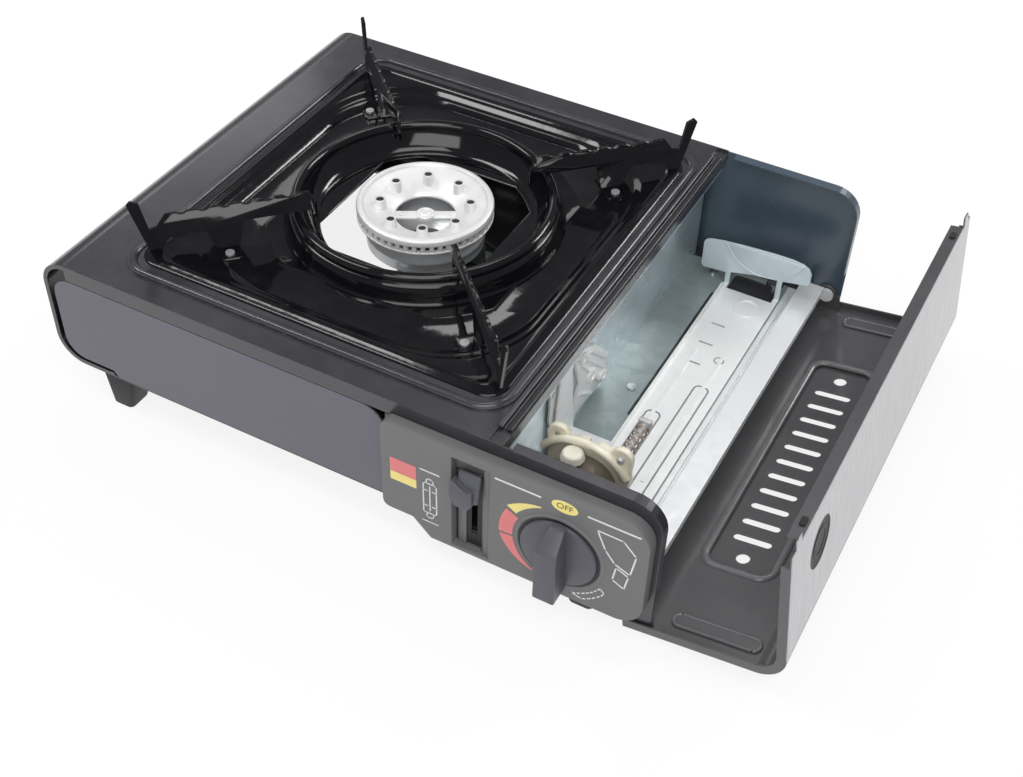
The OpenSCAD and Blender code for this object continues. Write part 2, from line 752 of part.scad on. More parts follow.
module regulator_screws() {
    color("#c9c9c9") {
        for (s = [-1, 1]) rod_y(axis_x + 2 + s * 12, axis_z - 22, 2.6, reg_y0 + 3, reg_y0 + 5);
        rod_y(axis_x - ear_dx, axis_z + ear_dz, push_rod_r, guide_y, guide_y + guide_t);
        rod_y(axis_x - ear_dx, axis_z + ear_dz, 3, guide_y + guide_t, guide_y + guide_t + 1.6);
    }
}

push_x = axis_x + ear_dx;
push_z = axis_z + ear_dz;
push_rod_r = 1.5;
push_tip_y = seat_y + crank_travel - 0.4;

module push_rod() {
    color("#c8c8c8") {
        rod_y(push_x, push_z, push_rod_r, guide_y - 10, push_tip_y - 2);
        rod_y(push_x, push_z, 4, push_tip_y - 2, push_tip_y);
    }
}

// Coil spring as a stack of tilted rings, each a torus
module push_spring() {
    turns = 6;
    y0 = guide_y + guide_t;
    len = push_tip_y - 2 - y0;
    wire_r = 0.55;
    coil_r = 3;
    pitch = (len - 2 * wire_r) / turns;
    color("#9a6a4a") {
        for (i = [0:turns]) {
            translate([push_x, y0 + wire_r + pitch * i, push_z]) rotate([90, 0, 0])
                rotate_extrude() translate([coil_r, 0]) circle(r = wire_r, $fn = 16);
        }
        // The wire between one turn and the next
        for (i = [0:turns - 1]) {
            rod_y(push_x + coil_r, push_z, wire_r * 0.9, y0 + wire_r + pitch * i, y0 + wire_r + pitch * (i + 1));
        }
    }
}

module piezo_igniter() {
    color("#2e4a86") {
        rod_y(piezo_x, piezo_z, 6, reg_y0, reg_y0 + piezo_l);
        rod_y(piezo_x, piezo_z, 2.5, reg_y0 + piezo_l - eps, reg_y0 + piezo_l + piezo_tip);
    }
}

// Spark lead: it runs along the floor to the electrode behind the burner
lead_r = 1.2;
electrode_a = 85;
electrode_rr = cap_r + 5;
electrode_x = pan_x + electrode_rr * cos(electrode_a);
electrode_y = electrode_rr * sin(electrode_a);
electrode_z0 = 50;
lead_route = [[piezo_x, reg_y0 + piezo_l + piezo_tip + 0.8, piezo_z], [piezo_x - 1, lead_y - 3, piezo_z - 5],
    [piezo_x - 9, lead_y, lead_z], [axis_x + 4, lead_y, lead_z - 6], [partition_x + 20, lead_y, lead_z - 3],
    [partition_x + 6, lead_y, lead_z], [partition_x - 14, lead_y, lead_z], [partition_x - 36, lead_y + 8, lead_z + 3],
    [pan_x + cap_r + 13, -cap_r - 3, lead_z + 5], [pan_x + cap_r + 9, 0, lead_z + 7],
    [pan_x + bowl_r + 1, bowl_r + 1, 44],
    [electrode_x + 8, electrode_y, 45], [electrode_x + 1.5, electrode_y, 46],
    [electrode_x, electrode_y, electrode_z0 - 0.5]];
lead_sides = 8;
lead_steps = 5;

// Cylinder from point a to point b
module rod_between(a, b, r) {
    d = b - a;
    len = norm(d);
    translate(a) rotate([0, acos(d[2] / len), atan2(d[1], d[0])]) cylinder(r = r, h = len);
}

// Point of a smooth curve through p[i] and p[i + 1], at share t of the way
function curve_point(p, i, t) = let (
    a = p[max(i - 1, 0)], b = p[i], c = p[i + 1], d = p[min(i + 2, len(p) - 1)])
    0.5 * (2 * b + (c - a) * t + (2 * a - 5 * b + 4 * c - d) * t * t + (3 * b - a - 3 * c + d) * t * t * t);

// Points along the whole of a smooth curve
function curve(p, steps) = concat(
    [for (i = [0:len(p) - 2], k = [0:steps - 1]) curve_point(p, i, k / steps)], [p[len(p) - 1]]);

// A round tube along a curve
module tube_along(path, r, sides) {
    side_way = [1, 1, 0.3];
    last = len(path) - 1;
    function heading(i) = let (d = path[min(i + 1, last)] - path[max(i - 1, 0)]) d / norm(d);
    rings = [for (i = [0:last]) let (h = heading(i), u = cross(h, side_way), v = u / norm(u), w = cross(h, v))
        [for (k = [0:sides - 1]) path[i] + r * (v * cos(360 * k / sides) + w * sin(360 * k / sides))]];
    polyhedron(
        points = [for (ring = rings) for (q = ring) q],
        faces = concat(
            [[for (k = [0:sides - 1]) k]],
            [for (i = [0:last - 1], k = [0:sides - 1]) let (n = (k + 1) % sides)
                [i * sides + k, (i + 1) * sides + k, (i + 1) * sides + n, i * sides + n]],
            [[for (k = [sides - 1:-1:0]) last * sides + k]]));
}

module igniter_lead() {
    color("#1d1d20") tube_along(curve(lead_route, lead_steps), lead_r, lead_sides);
}

module electrode_ceramic() {
    z1 = cap_z - cap_h - 3;
    color("#f1efe8") difference() {
        union() {
            rod_z(electrode_x, electrode_y, 2.6, electrode_z0, z1);
            rod_z(electrode_x, electrode_y, 4, clip_z + 1.2, clip_z + 4.2);
        }
        rod_z(electrode_x, electrode_y, 0.83, electrode_z0 + 10, z1 + 1);
    }
}

module electrode_wire() {
    z1 = cap_z - cap_h + 2;
    tip_r = cap_r + 1.6;
    a = electrode_a;
    color("#8c8c8c") {
        rod_z(electrode_x, electrode_y, 0.75, electrode_z0 + 10, z1);
        translate([electrode_x, electrode_y, z1]) sphere(r = 0.8, $fn = 24);
        rod_between([electrode_x, electrode_y, z1], [pan_x + tip_r * cos(a), tip_r * sin(a), z1], 0.75, $fn = 24);
    }
}

module electrode_clip() {
    color("#c4c4c4") difference() {
        translate([pan_x, 0, clip_z]) rotate(electrode_a) translate([bowl_r - 6, -5, 0])
            cube([electrode_rr - bowl_r + 12, 10, 1.2]);
        rod_z(pan_x, 0, bowl_r, clip_z - 1, clip_z + 3, $fn = 72);
        rod_z(electrode_x, electrode_y, 2.6 + pin_gap, clip_z - 1, clip_z + 3);
    }
}

// ---- Burner ----

cap_z = deck_z + cap_rise;
bowl_z = cap_z - cap_h - bowl_h;
mixer_z = bowl_z - 14;
jet_y = -62;
clip_z = cap_z - cap_h - 14;

// Quarter bend of the gas pipe, round the Z axis
module quarter_bend() {
    rotate_extrude(angle = 90) translate([bend_r, 0]) circle(r = pipe_r, $fn = 32);
}

module gas_pipe() {
    start_x = outlet_x - 0.5;
    rise_x = partition_x - 28;
    color("#b98d5c") {
        rod_x(pipe_y, pipe_z, pipe_r, rise_x + bend_r, start_x, $fn = 32);
        translate([rise_x + bend_r, pipe_y, pipe_z + bend_r]) rotate([90, 0, 0]) rotate(180) quarter_bend();
        rod_z(rise_x, pipe_y, pipe_r, pipe_z + bend_r, mixer_z - bend_r, $fn = 32);
        translate([rise_x - bend_r, pipe_y, mixer_z - bend_r]) rotate([90, 0, 0]) quarter_bend();
        rod_x(pipe_y, mixer_z, pipe_r, pan_x + bend_r, rise_x - bend_r, $fn = 32);
        translate([pan_x + bend_r, pipe_y + bend_r, mixer_z]) rotate(180) quarter_bend();
        rod_y(pan_x, mixer_z, pipe_r, pipe_y + bend_r, jet_y - 20, $fn = 32);
    }
}

module gas_jet() {
    color("#c9a24a") difference() {
        union() {
            rod_y(pan_x, mixer_z, 4.5, jet_y - 20, jet_y - 8);
            rod_y(pan_x, mixer_z, 2.6, jet_y - 8, jet_y - 4);
        }
        rod_y(pan_x, mixer_z, 0.6, jet_y - 14, jet_y - 3);
    }
}

module mixing_tube() {
    wall = 1.6;
    color("#b5b8ba") difference() {
        union() {
            rod_y(pan_x, mixer_z, mixer_r, jet_y, 6);
            rod_y(pan_x, mixer_z, mixer_r + 2.5, jet_y, jet_y + 3);
            rod_z(pan_x, 0, mixer_r + 5, mixer_z - mixer_r - 1, bowl_z);
        }
        rod_y(pan_x, mixer_z, mixer_r - wall, jet_y - 1, 0);
        rod_z(pan_x, 0, mixer_r + 5 - wall, mixer_z - mixer_r + 1, bowl_z + 1);
    }
}

module burner_bracket() {
    top = mixer_z - mixer_r - 1;
    half = 46;
    w = 24;
    x = pan_x - w / 2;
    color("#c2c6c8") {
        translate([x, -half, top - 1.5]) cube([w, 2 * half, 1.5]);
        for (s = [-1, 1]) {
            translate([x, s * (half - 0.75) - 0.75, floor_z]) cube([w, 1.5, top - floor_z]);
            translate([x, s * (half + 5) - 6, floor_z]) cube([w, 12, 1.5]);
        }
    }
}

module burner_bowl() {
    wall = 2;
    r0 = mixer_r + 6;
    color("#a9acae") translate([pan_x, 0, 0]) rotate_extrude($fn = 72) polygon([
        [r0 - 4, bowl_z], [r0, bowl_z], [bowl_r, bowl_z + 9], [bowl_r, bowl_z + bowl_h],
        [bowl_r - wall, bowl_z + bowl_h], [bowl_r - wall, bowl_z + 9 + wall], [r0 - 4, bowl_z + wall]]);
}

module burner_cap() {
    t = 2;
    z0 = cap_z - cap_h;
    recess_z = cap_z - 7;
    bump_r = 3.4;
    port_r = 24;
    bar_w = 6.5;
    color("#d9dbdc") difference() {
        translate([pan_x, 0, 0]) union() {
            rotate_extrude($fn = 96) polygon([
                [bowl_r - 2, z0], [cap_r - 1, z0], [cap_r, z0 + 1], [cap_r, cap_z - 4], [cap_r - 3.4, cap_z - 0.6],
                [cap_r - 5, cap_z], [hub_r + 1.5, cap_z - 1], [hub_r, cap_z - 2.5], [hub_r, recess_z],
                [hub_r - 4, recess_z], [hub_r - 4, recess_z - t], [hub_r + t, recess_z - t], [hub_r + t, cap_z - 3.4],
                [cap_r - 5, cap_z - t - 0.4], [cap_r - 5, z0 + 2.5], [bowl_r - 2, z0 + 2.5]]);
            for (i = [0:crown_ports - 1]) rotate(27 + 360 / crown_ports * i)
                translate([port_r, 0, cap_z - 1.2]) sphere(r = bump_r, $fn = 24);
            // Bridge with its hub
            rotate(30) translate([-hub_r - 0.5, -bar_w / 2, recess_z - t]) cube([2 * hub_r + 1, bar_w, t]);
            translate([0, 0, recess_z - t]) cylinder(r = 6, h = t + 0.8);
        }
        translate([pan_x, 0, 0]) {
            for (i = [0:crown_ports - 1]) rotate(27 + 360 / crown_ports * i)
                translate([port_r + 1, 0, cap_z - 8]) cylinder(r = 1.3, h = 20);
            for (i = [0:rim_ports - 1]) rotate(360 / rim_ports * i)
                translate([cap_r - 4, -0.8, z0 - 1]) cube([6, 1.6, 3.2]);
            // Below the cap, the bumps are hollow
            difference() {
                translate([0, 0, cap_z - 20]) cylinder(r = cap_r - 6, h = 20 - t - 2.2);
                translate([0, 0, cap_z - 21]) cylinder(r = hub_r + t + 0.5, h = 22);
            }
        }
    }
}

module burner_screws() {
    z = cap_z - 7;
    color("#8f9294") {
        translate([pan_x, 0, z + 0.8]) cylinder(r = 4.2, h = 1.8);
        for (a = [120, 300]) translate([pan_x + (hub_r - 2.2) * cos(a), (hub_r - 2.2) * sin(a), z])
            cylinder(r = 1.9, h = 1.6);
    }
}

// ---- Drip pan ----

pan_t = 1;
pan_z = deck_z;
pan_corner_r = 12;
edge_w = 1.5;
dish_w = pan_w - 2 * pan_rim;
dish_l = pan_l - 2 * pan_rim;
dish_r = 38;
dish_slope = 8;

// Dish of the pan, drawn d further in
module dish(d, drop) {
    hull() {
        w = dish_w - 2 * d;
        l = dish_l - 2 * d;
        translate([0, 0, pan_z + pan_t]) linear_extrude(eps) rounded_rect(w, l, dish_r - d, $fn = coarse_fn);
        translate([0, 0, pan_z + pan_t - drop]) linear_extrude(eps)
            rounded_rect(w - 2 * dish_slope, l - 2 * dish_slope, dish_r - d, $fn = coarse_fn);
    }
}

module drip_pan() {
    color("#0c0c0e") translate([pan_x, 0, 0]) difference() {
        union() {
            translate([0, 0, pan_z]) rounded_plate(pan_w, pan_l, pan_corner_r, pan_t);
            translate([0, 0, pan_z + pan_t - eps]) linear_extrude(0.9) difference() {
                rounded_rect(pan_w, pan_l, pan_corner_r);
                rounded_rect(pan_w - 2 * edge_w, pan_l - 2 * edge_w, pan_corner_r - edge_w);
            }
            dish(0, dish_depth + pan_t);
        }
        dish(pan_t * 1.1, dish_depth);
        cylinder(r = pan_hole_r, h = deck_z + 20);
    }
}

module wind_ring() {
    z0 = pan_z + pan_t - dish_depth;
    z1 = deck_z + ring_rise;
    crest = (ring_in_r + ring_out_r - 4) / 2;
    crest_r = (ring_out_r - 4 - ring_in_r) / 2;
    t = 1.2;
    color("#0c0c0e") translate([pan_x, 0, 0]) rotate_extrude($fn = 96) polygon(concat(
        [[ring_out_r, z0]], arc(crest, z1 - crest_r, crest_r, 0, 180, 12),
        [[pan_hole_r + 1, z0], [pan_hole_r + 1 + t, z0]],
        arc(crest, z1 - crest_r, crest_r - t, 180, 0, 12), [[ring_out_r - t, z0]]));
}

// Distance from the middle of a rounded rectangle to its outline, along 45 degrees
function corner_reach(w, l, r) = abs(w - l) / 2 < r
    ? ((w + l) / 2 - 2 * r) / sqrt(2) + sqrt(r * r - (w - l) * (w - l) / 8)
    : min(w, l) / sqrt(2);

tab_r = corner_reach(dish_w - 2 * dish_slope, dish_l - 2 * dish_slope, dish_r) - 9.5;
support_r = corner_reach(pan_w - 2 * edge_w, pan_l - 2 * edge_w, pan_corner_r - edge_w) - support_gap + 1.6;

// Outline of a pan support: distance from the burner axis against height
module support_2d() {
    pot_z = deck_z + pot_rise;
    tip_z = deck_z + tip_rise;
    floor_top = pan_z + pan_t - dish_depth;
    crest_z = deck_z + ring_rise + 0.3;
    rim_z = pan_z + pan_t;
    teeth = 7;
    tooth_r = 4;
    r0 = ring_in_r - 8;
    r1 = support_r - 12;
    step = (r1 - r0) / teeth;
    difference() {
        polygon([[r0, pot_z - 7], [r0 + 4, pot_z], [r1, pot_z - 1], [r1 + 5, pot_z - 8], [support_r - 3, pot_z - 9],
            [support_r, tip_z - 2], [support_r + 4, tip_z], [support_r + 6, tip_z - 2], [support_r - 1.6, rim_z],
            [support_r - 8, rim_z], [support_r - 11, pot_z - 16], [tab_r + 10, pot_z - 15],
            [tab_r + 6, floor_top + pan_t], [tab_r - 6, floor_top + pan_t],
            [tab_r - 10, crest_z], [ring_in_r - 5, crest_z], [ring_in_r - 6, crest_z - 5], [r0, crest_z - 5]]);
        for (i = [1:teeth - 1]) translate([r0 + step * (i + 0.25), pot_z + 2]) circle(r = tooth_r);
    }
}

module support_at(a) {
    floor_top = pan_z + pan_t - dish_depth;
    color("#111113") translate([pan_x, 0, 0]) rotate(a) {
        translate([0, support_t / 2, 0]) rotate([90, 0, 0]) linear_extrude(support_t) support_2d();
        // Foot tabs on the floor of the pan
        translate([tab_r, 0, floor_top]) rounded_plate(12, 22, 2, pan_t);
    }
}

module pan_support_1() { support_at(45); }
module pan_support_2() { support_at(135); }
module pan_support_3() { support_at(225); }
module pan_support_4() { support_at(315); }

module pan_rivets() {
    z = pan_z + 2 * pan_t - dish_depth;
    color("#1a1a1c") translate([pan_x, 0, z]) for (a = [45:90:315], s = [-1, 1]) {
        rotate(a) translate([tab_r, 7 * s, 0]) cylinder(r = 2.4, h = 1.2);
    }
}

// ---- Controls ----

panel_x0 = case_x - panel_w;
panel_x1 = case_x - 1.5;
panel_low_z = foot_h - 8;
panel_step_z = foot_h + 2;
panel_high_z = lip_z + 1.5;

// Outline of the control panel, moved inwards by d
module control_outline(d) {
    polygon(concat(
        arc(panel_x0 + 4, panel_step_z + 4, 4 - d, 180, 270, 4),
        [[panel_x0 + 17, panel_step_z + d], [panel_x0 + 27, panel_low_z + d]],
        arc(panel_x1 - 14, panel_low_z + 14, 14 - d, 270, 360),
        arc(panel_x1 - 14, panel_high_z - 14, 14 - d, 0, 90),
        arc(panel_x0 + 4, panel_high_z - 4, 4 - d, 90, 180, 4)));
}

module control_panel() {
    channel_z0 = panel_low_z + 2;
    channel_z1 = panel_high_z - 4.5;
    channel_d = panel_t - panel_wall;
    wall = panel_wall;
    slot_left = 6.5;
    color("#4d4e52") difference() {
        union() {
            difference() {
                along_y(front_y, -case_y) control_outline(0);
                along_y(front_y + wall, -case_y + 1) control_outline(wall);
            }
            // Walls of the lever channel and of the knob's seat
            translate([lever_x - channel_w / 2 - wall, front_y, panel_low_z])
                cube([channel_w + 2 * wall, panel_t, channel_z1 + wall - panel_low_z]);
            rod_y(knob_x, knob_z, 12, front_y, -case_y);
        }
        translate([lever_x - channel_w / 2, front_y - 1, channel_z0])
            cube([channel_w, channel_d + 1, channel_z1 - channel_z0]);
        // Slot of the lever, and the groove below it
        translate([lever_x - slot_left, front_y, floor_z + 1])
            cube([slot_left + 3, panel_t + 1, pivot_z + lever_reach - floor_z - 1]);
        translate([lever_x - slot_left, front_y, channel_z0])
            cube([slot_left + 3, channel_d + 1.2, pivot_z - channel_z0]);
        // Groove round the knob and hole for the spindle
        rod_y(knob_x, knob_z, knob_r + 1.4, front_y - 1, front_y + 1.2);
        rod_y(knob_x, knob_z, spindle_r + pass_gap, front_y - 1, -case_y + 1);
    }
}

module panel_screws() {
    color("#c9c9c9") for (p = [[panel_x0 + 9, lip_z - 12], [panel_x0 + 9, floor_z + 10], [bay_x - 24, floor_z + 5]]) {
        rod_y(p[0], p[1], 3, -case_y + sheet_t, -case_y + sheet_t + 1.8);
    }
}

module valve_spindle() {
    color("#b99a55") rod_y(knob_x, knob_z, spindle_r, front_y - 2, reg_y0 + 23);
}

module control_knob() {
    y0 = front_y + 0.6;
    y1 = front_y - knob_t;
    color("#43444c") difference() {
        union() {
            rod_y(knob_x, knob_z, knob_r, y1 + 1, y0);
            translate([knob_x, y1 + 1, knob_z]) rotate([90, 0, 0]) cylinder(r1 = knob_r, r2 = knob_r - 1, h = 1);
            // Grip: a bar whose upper end slopes back to the dial
            along_x(knob_x - grip_w / 2, knob_x + grip_w / 2) polygon([
                [y1 + eps, knob_z - knob_r + 1], [y1 + eps, knob_z + knob_r - 1], [y1 - 2, knob_z + knob_r - 1],
                [y1 - grip_h, knob_z + knob_r - 8], [y1 - grip_h, knob_z - knob_r + 2],
                [y1 - grip_h + 1, knob_z - knob_r + 1]]);
        }
        rod_y(knob_x, knob_z, spindle_r + 0.03, front_y - 2, front_y + 2);
    }
}

// The lock lever's pieces are drawn level and then raised by half of their swing
module lever_pose() {
    translate([0, pivot_y, pivot_z]) rotate([-lever_half, 0, 0]) translate([0, -pivot_y, -pivot_z]) children();
}

module lock_lever() {
    head_z = 9;
    y0 = front_y - 7;
    y1 = front_y + 0.5;
    color("#3f4049") lever_pose() difference() {
        along_x(lever_x - lever_w / 2, lever_x + lever_w / 2) polygon(concat(
            [[y1, pivot_z - head_z], [front_y - 2, pivot_z - head_z], [y0, pivot_z - 4]],
            arc(y0 + 4, pivot_z + head_z - 4, 4, 180, 90, 6), [[y1, pivot_z + head_z]]));
        translate([lever_x - lever_t / 2, front_y - 2, pivot_z - 4]) cube([lever_t, 10, 8]);
    }
}

module lever_arm() {
    color("#b9bfc2") lever_pose() difference() {
        union() {
            along_x(lever_x - lever_t / 2, lever_x + lever_t / 2) polygon([[front_y - 2, pivot_z - 3.5],
                [pivot_y, pivot_z - 7], [pivot_y, pivot_z + 7], [front_y - 2, pivot_z + 3.5]]);
            rod_x(pivot_y, pivot_z, 7, lever_x - lever_t / 2, lever_x + lever_t / 2);
        }
        rod_x(pivot_y, pivot_z, 3 + 0.02, lever_x - 3, lever_x + 3);
    }
}

module lever_shaft() {
    color("#cfcfcf") lever_pose() {
        rod_x(pivot_y, pivot_z, 3, lever_x - 3, crank_x + crank_t + slide_gap / 3);
        rod_x(pivot_y, pivot_z, 4, lever_x + lever_t / 2, crank_x - 0.1);
    }
}

module lever_crank() {
    pin_r = 1.8;
    color("#d2d9dc") lever_pose() difference() {
        union() {
            // Sector plate with its pin
            along_x(crank_x, crank_x + crank_t) union() {
                translate([pivot_y, pivot_z]) circle(r = 9);
                polygon([[pivot_y - 9, pivot_z], [pivot_y + 9, pivot_z], [pivot_y + 13, pivot_z + crank_r - 4],
                    [pivot_y + 8, pivot_z + crank_r + 4], [pivot_y - 8, pivot_z + crank_r + 4],
                    [pivot_y - 13, pivot_z + crank_r - 4]]);
            }
            rod_x(pivot_y, pivot_z + crank_r, pin_r, crank_x, arm_x + zinc_t + 0.2);
        }
        rod_x(pivot_y, pivot_z, 3 + 0.02, crank_x - 1, crank_x + crank_t + 1);
        for (s = [-1, 1]) rod_x(pivot_y + 8 * s, pivot_z + 13, 2.2, crank_x - 1, crank_x + crank_t + 1);
    }
}

// ---- Lid ----

// Section of the lid, moved inwards by d
module lid_section(d) {
    r = lid_r - d;
    side = lid_side_x - d;
    top = lid_top_z - d;
    translate([lid_left_x - d, lid_foot_z - d]) square([side - r - lid_left_x + d, top - lid_foot_z + d]);
    translate([side - r - eps, lid_foot_z - d]) square([r + eps, top - r - lid_foot_z + d]);
    translate([side - r, top - r]) circle(r = r);
}

module lid_sheet_2d() {
    difference() {
        lid_section(0);
        lid_section(lid_t);
    }
}

// Turned edge at each end of the lid
module lid_hem_2d() {
    difference() {
        lid_section(0);
        lid_section(lid_hem);
        translate([lid_left_x - 1, 0]) square([8, deck_z * 2]);
    }
}

// Places the lid as it lies open
module lid_open() {
    translate([pin_x, 0, hinge_z]) rotate([0, lid_angle, 0]) translate([-pin_x, 0, -hinge_z]) children();
}

module lid() {
    hole_z = hinge_z + 29;
    panel_l = (slot_count - 1) * slot_pitch + 2 * 24;
    panel_h = slot_len + 16;
    side_in = lid_side_x - lid_t;
    finger_r = 13;
    emboss = 1.5;
    color("#2e2f33") lid_open() difference() {
        union() {
            along_y(-lid_half, lid_half) lid_sheet_2d();
            for (s = [-1, 1]) {
                along_y(s * (lid_half - lid_t / 2) - lid_t / 2, s * (lid_half - lid_t / 2) + lid_t / 2) lid_hem_2d();
                // Hinge tabs
                along_y(s * (tab_y + lid_t / 2) - lid_t / 2, s * (tab_y + lid_t / 2) + lid_t / 2) union() {
                    translate([pin_x, hinge_z]) circle(r = 6);
                    translate([pin_x, hinge_z - 6]) square([side_in - pin_x + eps, 14]);
                }
                // Tongues at the free edge
                translate([lid_left_x - 5, s * (lid_half - 8) - 3, lid_top_z - lid_t]) cube([5 + eps, 6, lid_t]);
            }
            // Fold along the free edge
            translate([lid_left_x, -lid_half + 12, lid_top_z - 7]) cube([lid_t, 2 * lid_half - 24, 7]);
            // Pressed-out field of the slots
            translate([lid_side_x - eps, 0, hole_z]) rotate([0, 90, 0]) rounded_plate(panel_h, panel_l, 8, emboss);
            // Pressed beads
            for (s = [-1, 1]) translate([side_in + eps, s * (lid_half - 13), hinge_z + 36])
                rotate([0, -90, 0]) rounded_plate(42, 6, 2.9, 1);
        }
        translate([side_in - eps, 0, hole_z]) rotate([0, 90, 0]) rounded_plate(panel_h - 2, panel_l - 2, 7, emboss);
        for (i = [0:slot_count - 1]) {
            y = (i - (slot_count - 1) / 2) * slot_pitch;
            translate([side_in - 2, y, hole_z]) rotate([0, 90, 0]) linear_extrude(8) slot_2d(slot_len, slot_w);
        }
        for (s = [-1, 1]) {
            rod_x(s * ((slot_count - 1) / 2 * slot_pitch + 13), hole_z, 3.5, side_in - 2, side_in + 6);
            rod_y(pin_x, hinge_z, hinge_r + pin_gap, s * tab_y - 3, s * tab_y + 3);
        }
        // Finger recess
        rod_z(axis_x, -lid_half + 38, finger_r, lid_top_z - 0.5, lid_top_z + 1);
    }
}

module lid_buffers() {
    color("#151516") lid_open() for (s = [-1, 1]) {
        translate([lid_left_x - 1.4, s * (lid_half - 22) - 4, lid_top_z - lid_t - 5]) cube([1.4, 8, 4]);
    }
}

module hinge_pins() {
    color("#d0d0d0") for (s = [-1, 1]) {
        y0 = min(s * case_y, s * (tab_y - 0.5));
        y1 = max(s * case_y, s * (tab_y - 0.5));
        rod_y(pin_x, hinge_z, hinge_r, y0, y1);
        h0 = s * (tab_y - 0.5);
        rod_y(pin_x, hinge_z, hinge_r + 1.8, min(h0, h0 - 1.6 * s), max(h0, h0 - 1.6 * s));
    }
}

placed() outer_case();
placed() front_panel();
placed() front_bulkhead();
placed() rear_panel();
placed() partition();
placed() cartridge_tray();
placed() slider_rail();
placed() cartridge_stop();
placed() regulator_body();
placed() regulator_cover();
placed() cartridge_guide();
placed() inlet_nozzle();
placed() socket_seal();
placed() regulator_screws();
placed() push_rod();
placed() push_spring();
placed() piezo_igniter();
placed() igniter_lead();
placed() electrode_ceramic();
placed() electrode_wire();
placed() electrode_clip();
placed() gas_pipe();
placed() gas_jet();
placed() mixing_tube();
placed() burner_bracket();
placed() burner_bowl();
placed() burner_cap();
placed() burner_screws();
placed() drip_pan();
placed() wind_ring();
placed() pan_support_1();
placed() pan_support_2();
placed() pan_support_3();
placed() pan_support_4();
placed() pan_rivets();
placed() foot_1();
placed() foot_2();
placed() foot_3();
placed() foot_4();
placed() foot_screws();
placed() control_panel();
placed() panel_screws();
placed() valve_spindle();
placed() control_knob();
placed() lock_lever();
placed() lever_arm();
placed() lever_shaft();
placed() lever_crank();
placed() lid();
placed() lid_buffers();
placed() hinge_pins();
placed() case_rivets();
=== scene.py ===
"""Portable cassette stove: finishes, fine pieces, light and camera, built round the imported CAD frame.

Sizes in the classes are millimetres in the case's own frame, the one that the CAD source draws in: its
origin is on the table under the middle of the case, +X right, +Y to the back, +Z up. placed() moves such a
point to the stove frame, in metres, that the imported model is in.
"""

import json
import logging
import math
from dataclasses import dataclass, field
from enum import Enum
from typing import Any, Iterable, Sequence

import bmesh
import bpy
from mathutils import Matrix, Vector

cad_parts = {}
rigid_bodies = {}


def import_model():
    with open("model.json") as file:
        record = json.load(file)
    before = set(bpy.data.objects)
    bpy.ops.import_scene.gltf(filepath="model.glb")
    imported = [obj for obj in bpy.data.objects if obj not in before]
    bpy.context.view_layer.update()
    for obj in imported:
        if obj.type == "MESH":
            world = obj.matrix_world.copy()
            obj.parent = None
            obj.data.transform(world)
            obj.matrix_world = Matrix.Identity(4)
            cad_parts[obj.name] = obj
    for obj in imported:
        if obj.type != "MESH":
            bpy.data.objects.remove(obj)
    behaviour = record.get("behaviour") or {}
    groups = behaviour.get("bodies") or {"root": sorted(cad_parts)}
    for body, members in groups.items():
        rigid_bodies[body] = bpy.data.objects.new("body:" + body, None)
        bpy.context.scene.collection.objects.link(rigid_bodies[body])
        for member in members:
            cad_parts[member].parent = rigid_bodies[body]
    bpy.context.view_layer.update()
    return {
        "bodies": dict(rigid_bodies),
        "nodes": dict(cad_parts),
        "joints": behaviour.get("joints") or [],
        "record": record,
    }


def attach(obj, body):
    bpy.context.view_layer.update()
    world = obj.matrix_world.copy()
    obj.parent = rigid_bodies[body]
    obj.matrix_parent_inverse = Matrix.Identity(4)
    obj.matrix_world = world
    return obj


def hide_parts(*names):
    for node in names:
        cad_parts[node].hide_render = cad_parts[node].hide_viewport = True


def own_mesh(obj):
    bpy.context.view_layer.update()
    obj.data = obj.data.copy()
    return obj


LOG = logging.getLogger("stove")
MM = 0.001
CASE_SHIFT = Vector((33.2433, -10.5, 0.0))

Colour = tuple[float, float, float]
Point = tuple[float, float, float]
Flat = tuple[float, float]
Box = tuple[float, float, float, float]
Outline = tuple[Flat, ...]
Shape = bmesh.types.BMesh
Verts = Sequence[bmesh.types.BMVert]

RIGHT = (1.0, 0.0, 0.0)
BACK = (0.0, 1.0, 0.0)
UP = (0.0, 0.0, 1.0)


def placed(x: float, y: float, z: float) -> Vector:
    """Moves a point of the case frame, in millimetres, to the stove frame, in metres.

    Args:
        x: Distance to the right.
        y: Distance to the back.
        z: Height above the table.

    Returns:
        The point in metres.
    """
    return (Vector((x, y, z)) - CASE_SHIFT) * MM


# ---- Node trees


